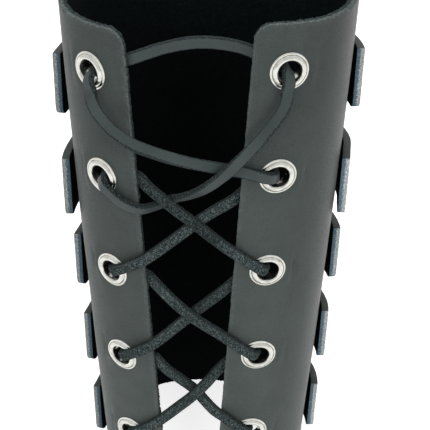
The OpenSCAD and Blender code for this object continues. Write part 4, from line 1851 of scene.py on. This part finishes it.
class Finish:
    """A finish in the making, with its Principled shader and the vector of its patterns."""

    def __init__(self, name: str, strip: bool = False) -> None:
        """Opens a material.

        Args:
            name: Its name.
            strip: True where the patterns follow the piece's UV map.
        """
        self.material = bpy.data.materials.new(name)
        self.desk = NodeDesk.fresh(self.material)
        self.shader = self.desk.add("BsdfPrincipled")
        output = self.desk.add("OutputMaterial")
        self.desk.feed(output.inputs["Surface"], self.shader.outputs["BSDF"])
        coordinates = self.desk.add("TexCoord")
        self.vector = coordinates.outputs["UV" if strip else "Object"]

    def group(self, tree: bpy.types.NodeTree, **inputs: object) -> bpy.types.bpy_prop_collection:
        """Places a shared group with its own values, on this finish's vector.

        Args:
            tree: The shared group.
            **inputs: Its values here.

        Returns:
            The group's outputs.
        """
        node = self.desk.add("Group")
        node.node_tree = tree
        self.desk.feed(node.inputs["Vector"], self.vector)
        for key, value in inputs.items():
            self.desk.feed(node.inputs[key], value)
        return node.outputs

    def set(self, **values: object) -> None:
        """Sets or feeds the shader's own sockets."""
        for key, value in values.items():
            self.desk.feed(self.shader.inputs[key.replace("_", " ")], value)

    def change(self, axis: str, low: float, high: float, bottom: float, top: float
               ) -> bpy.types.NodeSocket:
        """A value that changes along an axis of the object, in metres."""
        place = self.desk.add("SeparateXYZ", {"Vector": self.vector}).outputs[axis]
        return self.desk.spread(place, low, high, bottom, top)

    def clouded(self, handled: bpy.types.bpy_prop_collection, low: float, high: float
                ) -> bpy.types.NodeSocket:
        """A value that follows the broad clouds of tone from low to high."""
        return self.desk.spread(handled["Cloud"], CLOUD_LOW, CLOUD_HIGH, low, high)

    def bump(self, height: object, depth_mm: float, strength: float = 1.0) -> None:
        """Raises the surface by a height pattern."""
        inputs = {"Height": height, "Distance": depth_mm * MM, "Strength": strength}
        self.set(Normal=self.desk.add("Bump", inputs).outputs["Normal"])


@dataclass(frozen=True)
class GrainFinish:
    """Dyed and oiled grain side, with painted shade in its creases and, where asked for, painted light
    towards the bottom.
    """

    name: str
    base: Color = (0.052, 0.062, 0.059)
    # Colour of the painted shade in the creases between the pebbles.
    crease: Color = (0.034, 0.041, 0.039)
    worn: Color = (0.085, 0.098, 0.092)
    cells: float = 1700.0
    depth_mm: float = 0.022
    roughness: float = 0.42
    pale: Color = (1.0, 0.97, 0.86)
    sheen: float = 0.16
    sheen_rough: float = 0.15
    # Painted light: the colour is lighter by this factor below low_z, fading out at high_z.
    low_painted_light: float = 1.0
    low_z: float = 0.03
    high_z: float = 0.19
    uneven: float = 0.18
    crease_shade_share: float = 0.75
    crease_rough: float = 0.18
    worn_share: float = 0.5
    cloud_rough: float = 0.05
    mirror: float = 0.12
    strip: bool = False

    def material(self, patterns: LeatherPatterns) -> bpy.types.Material:
        """Builds the finish from the shared patterns.

        Args:
            patterns: The shared patterns.

        Returns:
            The finish.
        """
        finish = Finish(self.name, self.strip)
        d = finish.desk
        grain = finish.group(patterns.grain, Cells=self.cells)
        rim = d.add("Attribute", attribute_name="rim").outputs["Fac"]
        handled = finish.group(patterns.handling, Rim=NO_RIM if self.strip else rim)
        tone = finish.clouded(handled, 1 - self.uneven, 1 + self.uneven)
        # Painted light: the colour is lighter towards the bottom of the piece.
        if self.low_painted_light != 1.0:
            lower = finish.change("Z", self.low_z, self.high_z, self.low_painted_light, 1.0)
            tone = d.calc("MULTIPLY", tone, lower)
        # Painted shade: the creases are darkened in the colour.
        crease = d.calc("MULTIPLY", grain["Crease"], self.crease_shade_share)
        color = d.blend(crease, rgba(self.base), rgba(self.crease))
        color = d.blend(d.calc("MULTIPLY", handled["Wear"], self.worn_share), color, rgba(self.worn))
        rough = finish.clouded(handled, self.roughness - self.cloud_rough,
                               self.roughness + self.cloud_rough)
        rough = d.calc("ADD", rough, d.calc("MULTIPLY", grain["Crease"], self.crease_rough))
        finish.set(Base_Color=d.vectors("SCALE", color, tone), Roughness=rough, IOR=1.48,
                   Sheen_Weight=self.sheen, Sheen_Roughness=self.sheen_rough,
                   Sheen_Tint=rgba(self.pale), Specular_IOR_Level=self.mirror)
        finish.bump(grain["Height"], self.depth_mm)
        return finish.material


@dataclass(frozen=True)
class NapFinish:
    """Flesh side with its short nap. Its default colour is near black: the dark flesh with painted
    shade of the inside and of the gaps under the plates.
    """

    name: str
    # Near black: the dark flesh with painted shade of the inside and of the gaps under the plates.
    base: Color = (0.002, 0.0032, 0.0034)
    fibre: Color = (0.008, 0.011, 0.011)
    clumps: float = 900.0
    depth_mm: float = 0.16
    roughness: float = 0.9
    uneven: float = 0.2
    mirror: float = 0.1
    strip: bool = False

    def material(self, patterns: LeatherPatterns) -> bpy.types.Material:
        """Builds the finish from the shared patterns.

        Args:
            patterns: The shared patterns.

        Returns:
            The finish.
        """
        finish = Finish(self.name, self.strip)
        d = finish.desk
        nap = finish.group(patterns.nap, Clumps=self.clumps)
        handled = finish.group(patterns.handling, Rim=NO_RIM)
        color = d.blend(nap["Specks"], rgba(self.base), rgba(self.fibre))
        tone = finish.clouded(handled, 1 - self.uneven, 1 + self.uneven)
        finish.set(Base_Color=d.vectors("SCALE", color, tone), Roughness=self.roughness, IOR=1.4,
                   Specular_IOR_Level=self.mirror)
        finish.bump(nap["Height"], self.depth_mm)
        return finish.material


@dataclass(frozen=True)
class CutFinish:
    """Cut side of the leather, with its fibre ends. Towards the outer face it is greyer and lighter:
    paler fibres with a painted highlight of the rounded outer edge.
    """

    name: str
    base: Color = (0.054, 0.086, 0.112)
    ends: Color = (0.14, 0.185, 0.215)
    # Greyer, lighter colours towards the outer face: paler fibres with a painted highlight.
    outer_highlit_base: Color = (0.19, 0.21, 0.215)
    outer_highlit_ends: Color = (0.46, 0.485, 0.495)
    density: float = 1900.0
    depth_mm: float = 0.12
    roughness: float = 0.85
    # Painted light: the colour is lighter by this factor on the right of the middle.
    right_painted_light: float = 1.0
    middle_x: float = 0.02
    uneven: float = 0.15
    ragged: float = 0.3
    outer_low: float = 0.42
    outer_high: float = 0.56
    mirror: float = 0.2
    strip: bool = False

    def material(self, patterns: LeatherPatterns) -> bpy.types.Material:
        """Builds the finish from the shared patterns.

        Args:
            patterns: The shared patterns.

        Returns:
            The finish.
        """
        finish = Finish(self.name, self.strip)
        d = finish.desk
        fibre = finish.group(patterns.fibre, Ends=self.density)
        handled = finish.group(patterns.handling, Rim=NO_RIM)
        band = d.add("Attribute", attribute_name="band").outputs["Fac"]
        stray = d.calc("MULTIPLY", d.calc("SUBTRACT", fibre["Height"], 0.7), self.ragged)
        # Painted highlight: the part towards the outer face and the rounded outer edge take the lighter
        # colours.
        outer = d.spread(d.calc("ADD", band, stray), self.outer_low, self.outer_high)
        color = d.blend(outer, d.blend(fibre["Specks"], rgba(self.base), rgba(self.ends)),
                        d.blend(fibre["Specks"], rgba(self.outer_highlit_base), rgba(self.outer_highlit_ends)))
        tone = finish.clouded(handled, 1 - self.uneven, 1 + self.uneven)
        # Painted light: the colour is lighter on the right side.
        if self.right_painted_light != 1.0:
            right = finish.change("X", -self.middle_x, self.middle_x, 1.0, self.right_painted_light)
            tone = d.calc("MULTIPLY", tone, right)
        finish.set(Base_Color=d.vectors("SCALE", color, tone), Roughness=self.roughness, IOR=1.4,
                   Specular_IOR_Level=self.mirror)
        finish.bump(fibre["Height"], self.depth_mm)
        return finish.material


@dataclass(frozen=True)
class MetalFinish:
    """Plated or blackened metal with fine handling marks."""

    name: str
    base: Color
    dull: Color
    roughness: float
    spots: float = 500.0
    spot_low: float = 0.45
    spot_high: float = 0.75
    spot_rough: float = 0.12
    polish: float = 0.04
    lines: float = 1400.0
    depth_mm: float = 0.02
    strength: float = 0.6

    def material(self, patterns: LeatherPatterns) -> bpy.types.Material:
        """Builds the finish from the shared patterns.

        Args:
            patterns: The shared patterns.

        Returns:
            The finish.
        """
        finish = Finish(self.name)
        d = finish.desk
        handled = finish.group(patterns.handling, Rim=NO_RIM)
        spots = d.noise(finish.vector, self.spots, 4.0, 0.6)
        dull = d.spread(spots, self.spot_low, self.spot_high)
        color = d.blend(dull, rgba(self.base), rgba(self.dull))
        rough = d.calc("MULTIPLY", spots, self.spot_rough)
        rough = d.calc("ADD", self.roughness - self.polish, rough)
        finish.set(Base_Color=color, Roughness=rough, Metallic=1.0)
        lines = d.noise(d.stretch(finish.vector, (1.0, 1.0, 6.0)), self.lines, 3.0, 0.6)
        finish.bump(d.calc("ADD", lines, handled["Cloud"]), self.depth_mm, self.strength)
        return finish.material


@dataclass(frozen=True)
class Lamp:
    """A soft round lamp that looks at the gauntlet, with its place in metres."""

    name: str
    place: tuple[float, float, float]
    size: float
    power: float
    color: Color
    aim: tuple[float, float, float] = (0.0, 0.0, 0.1)

    def hang(self) -> None:
        """Hangs the lamp, which metal doesn't mirror."""
        data = bpy.data.lights.new(self.name, "AREA")
        data.shape = "DISK"
        data.size = self.size
        data.energy = self.power
        data.color = self.color
        lamp = bpy.data.objects.new(self.name, data)
        bpy.context.collection.objects.link(lamp)
        lamp.visible_glossy = False
        turn = (Vector(self.aim) - Vector(self.place)).to_track_quat("-Z", "Y")
        lamp.matrix_world = Matrix.Translation(self.place) @ turn.to_matrix().to_4x4()


@dataclass
class Studio:
    """The pale floor, the soft light and the camera."""

    camera_place: tuple[float, float, float] = (65.9, -397.0, 350.0)
    lean: float = 30.35
    turn: float = -9.08
    roll: float = 0.94
    lens: float = 96.28
    floor_half: float = 6.0
    floor_tone: float = 0.8
    floor_glow: float = 0.75
    fill: float = 0.22
    lamps: tuple[Lamp, ...] = (
        Lamp("window_right", (2.1, -2.6, 1.6), 2.2, 62.0, (1.0, 0.99, 0.97)),
        Lamp("window_left", (-0.9, -2.9, 1.5), 2.0, 46.0, (0.97, 0.99, 1.0)),
        Lamp("window_back", (-0.6, 3.0, 1.7), 2.2, 40.0, (1.0, 0.98, 0.94)),
        Lamp("ceiling", (0.0, 0.2, 3.2), 2.6, 24.0, (1.0, 1.0, 1.0)))

    def camera(self) -> None:
        """Sets the camera where the photograph was taken from."""
        t, p, r = (math.radians(a) for a in (self.lean, self.turn, self.roll))
        around = Matrix(((math.cos(p), -math.sin(p), 0), (math.sin(p), math.cos(p), 0), (0, 0, 1)))
        tip = Matrix(((1, 0, 0), (0, -math.sin(t), -math.cos(t)), (0, math.cos(t), -math.sin(t))))
        twist = Matrix(((math.cos(r), -math.sin(r), 0), (math.sin(r), math.cos(r), 0), (0, 0, 1)))
        rows = twist @ tip @ around
        right, down, ahead = rows[0], rows[1], rows[2]
        axes = Matrix((right, -down, -ahead)).transposed()
        data = bpy.data.cameras.new("photograph")
        data.lens = self.lens
        data.sensor_width = 36
        data.clip_start = 0.01
        camera = bpy.data.objects.new("photograph", data)
        bpy.context.collection.objects.link(camera)
        camera.matrix_world = Matrix.Translation(Vector(self.camera_place) * MM) @ axes.to_4x4()
        bpy.context.scene.camera = camera

    @staticmethod
    def shown(d: NodeDesk, hidden: bpy.types.NodeSocket, plain: bpy.types.NodeSocket
              ) -> bpy.types.NodeSocket:
        """Chooses what the camera sees, directly, in metal or through glass.

        Args:
            d: The desk of the floor or the world.
            hidden: Shader that lights the gauntlet.
            plain: Shader that is seen.

        Returns:
            The chosen shader.
        """
        path = d.add("LightPath").outputs
        seen = d.calc("MAXIMUM", path["Is Camera Ray"], path["Is Glossy Ray"])
        seen = d.calc("MAXIMUM", seen, path["Is Transmission Ray"])
        return d.add("MixShader", {0: seen, 1: hidden, 2: plain}).outputs[0]

    def floor(self) -> None:
        """Lays a pale floor that shows white and keeps the gauntlet's shadow."""
        Bench.clear()
        bpy.ops.mesh.primitive_plane_add(size=2 * self.floor_half)
        floor = Bench.named("floor")
        material = bpy.data.materials.new("floor")
        d = NodeDesk.fresh(material)
        pale = d.add("BsdfDiffuse", {"Color": rgba((self.floor_tone,) * 3)}).outputs[0]
        glow = d.add("Emission", {"Color": rgba(WHITE), "Strength": self.floor_glow}).outputs[0]
        both = d.add("AddShader", {0: pale, 1: glow}).outputs[0]
        d.add("OutputMaterial", {"Surface": self.shown(d, pale, both)})
        floor.data.materials.append(material)

    def world(self) -> None:
        """Sets a white backdrop and an even fill light."""
        world = bpy.data.worlds.new("studio")
        d = NodeDesk.fresh(world)
        fill, white = (d.add("Background", {"Color": rgba(WHITE), "Strength": strength}).outputs[0]
                       for strength in (self.fill, 1.0))
        d.add("OutputWorld", {"Surface": self.shown(d, fill, white)})
        bpy.context.scene.world = world

    def build(self) -> None:
        """Sets up the camera, the floor and the light."""
        self.camera()
        self.floor()
        self.world()
        for lamp in self.lamps:
            lamp.hang()
        bpy.context.scene.view_settings.view_transform = "Standard"


@dataclass
class Gauntlet:
    """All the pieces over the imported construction."""

    patterns: LeatherPatterns = field(default_factory=LeatherPatterns)
    eyelet_turn: float = 1.3

    def leather(self, nap: NapFinish, cut: CutFinish, grain: GrainFinish, rubbed_highlit: CutFinish
                ) -> list[bpy.types.Material]:
        """The finishes of a kind of leather, in the order of Skin."""
        return [finish.material(self.patterns) for finish in (grain, nap, cut, rubbed_highlit)]

    def sheet(self) -> None:
        """Builds the wrapped sheet."""
        LOG.info("finish: wrapped sheet")
        skins = self.leather(
            # The wrap's flesh is near black, with painted shade of the inside.
            NapFinish("wrap flesh"),
            CutFinish("wrap cut", (0.014, 0.021, 0.022), (0.09, 0.108, 0.108),
                      (0.075, 0.093, 0.091), (0.24, 0.27, 0.265)),
            # The wrap's grain has painted light, lighter towards the bottom.
            GrainFinish("wrap grain", low_painted_light=1.4),
            # The rounded outer edge is worn, and lighter with a painted highlight.
            CutFinish("wrap rubbed edge", (0.05, 0.062, 0.061), (0.17, 0.19, 0.185),
                      (0.075, 0.09, 0.087), (0.28, 0.305, 0.285)))
        place(LeatherSheet(WRAP).build(skins), WRAP_BODY, "sheet_leather", "leather_wrap")

    def plates(self) -> None:
        """Builds the five plates."""
        LOG.info("finish: plates")
        # The plates' flesh is near black, with painted shade of the gaps under them.
        skins = self.leather(
            # The plates' cut sides have painted light, lighter on the right.
            NapFinish("plate flesh"), CutFinish("plate cut", right_painted_light=1.6),
            # The plates' rounded outer edge is worn, with a painted highlight.
            GrainFinish("plate grain"), CutFinish("plate rubbed edge", right_painted_light=1.6))
        for k in PLATES:
            piece = BackPlate(k, PLATE).build(skins)
            place(piece, f"plate_{k}_body", "plate_leather", f"plate_{k}")

    def eyelets(self) -> None:
        """Builds the eyelets and washers, each pair turned another way about its axis."""
        nickel = MetalFinish("nickel plate", (0.575, 0.58, 0.54), (0.42, 0.415, 0.385), 0.2)
        metal = nickel.material(self.patterns)
        form = LacedEyelet(EYELET)
        turned = {"eyelet": form.barrel(), "washer": form.washer()}
        for pattern in turned.values():
            Bench.smooth(pattern, METAL_ANGLE)
            pattern.data.materials.append(metal)
        for side in Side:
            flap = side.name.lower()
            for row in ROWS:
                spin = Matrix.Rotation(self.eyelet_turn * row + side.value, 4, "Z")
                seat = eyelet_seat(side, row).matrix() @ spin
                for kind, pattern in turned.items():
                    piece = Bench.copy(pattern, f"{kind}_{flap}_{row}", seat)
                    place(piece, WRAP_BODY, "eyelet_nickel", f"{flap}_{kind}_{row}")
        for pattern in turned.values():
            Bench.drop(pattern)

    def rivets(self) -> None:
        """Builds the rivets and their inner caps."""
        nickel = MetalFinish("dark nickel", (0.23, 0.225, 0.22), (0.1, 0.1, 0.1), 0.3)
        metal = nickel.material(self.patterns)
        form = Rivets(PLATE)
        turned = {"rivets": form.outer_cap(), "rivet_caps": form.inner_cap()}
        for pattern in turned.values():
            pattern.data.materials.append(metal)
            Bench.smooth(pattern, METAL_ANGLE)
        for k in PLATES:
            for kind, pattern in turned.items():
                pair = [Bench.copy(pattern, "part", rivet_seat(side, k).matrix()) for side in Side]
                piece = Bench.join(pair, f"{kind}_plate_{k}")
                place(piece, WRAP_BODY, "rivet_metal", f"plate_{k}_{kind}")
        for pattern in turned.values():
            Bench.drop(pattern)

    def lace(self) -> None:
        """Builds the lace."""
        LOG.info("finish: lace")
        skins = self.leather(
            NapFinish("lace flesh", base=(0.009, 0.017, 0.018), fibre=(0.16, 0.182, 0.182),
                      uneven=0.5, strip=True),
            CutFinish("lace cut", base=(0.008, 0.013, 0.014), ends=(0.1, 0.115, 0.115), strip=True),
            GrainFinish("lace grain", base=(0.037, 0.049, 0.050), cells=2200.0, depth_mm=0.02,
                        mirror=0.3, sheen=0.05, strip=True),
            CutFinish("lace rubbed edge", strip=True))
        place(Lace().build(skins), WRAP_BODY, "lace_leather", "lace")

    def build(self) -> None:
        """Builds every piece."""
        self.sheet()
        self.plates()
        self.eyelets()
        self.rivets()
        self.lace()


def place(piece: bpy.types.Object, body: str, slot: str, node: str) -> None:
    """Puts a finished piece on its body, in place of its node.

    Args:
        piece: The piece.
        body: Body that it moves with.
        slot: Not used.
        node: Node that it stands for.
    """
    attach(piece, body)
    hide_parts(node)
    piece.data.calc_loop_triangles()
    LOG.info("%s: %d triangles on %s", piece.name, len(piece.data.loop_triangles), body)


def plain(box: Sequence[Sequence[float]]) -> list[list[float]]:
    """The box as lists of numbers."""
    return [[float(v) for v in corner] for corner in box]


def main() -> None:
    logging.basicConfig(level=logging.INFO, format="%(name)s: %(message)s")
    Studio().build()
    Gauntlet().build()


if __name__ == "__main__":
    main()
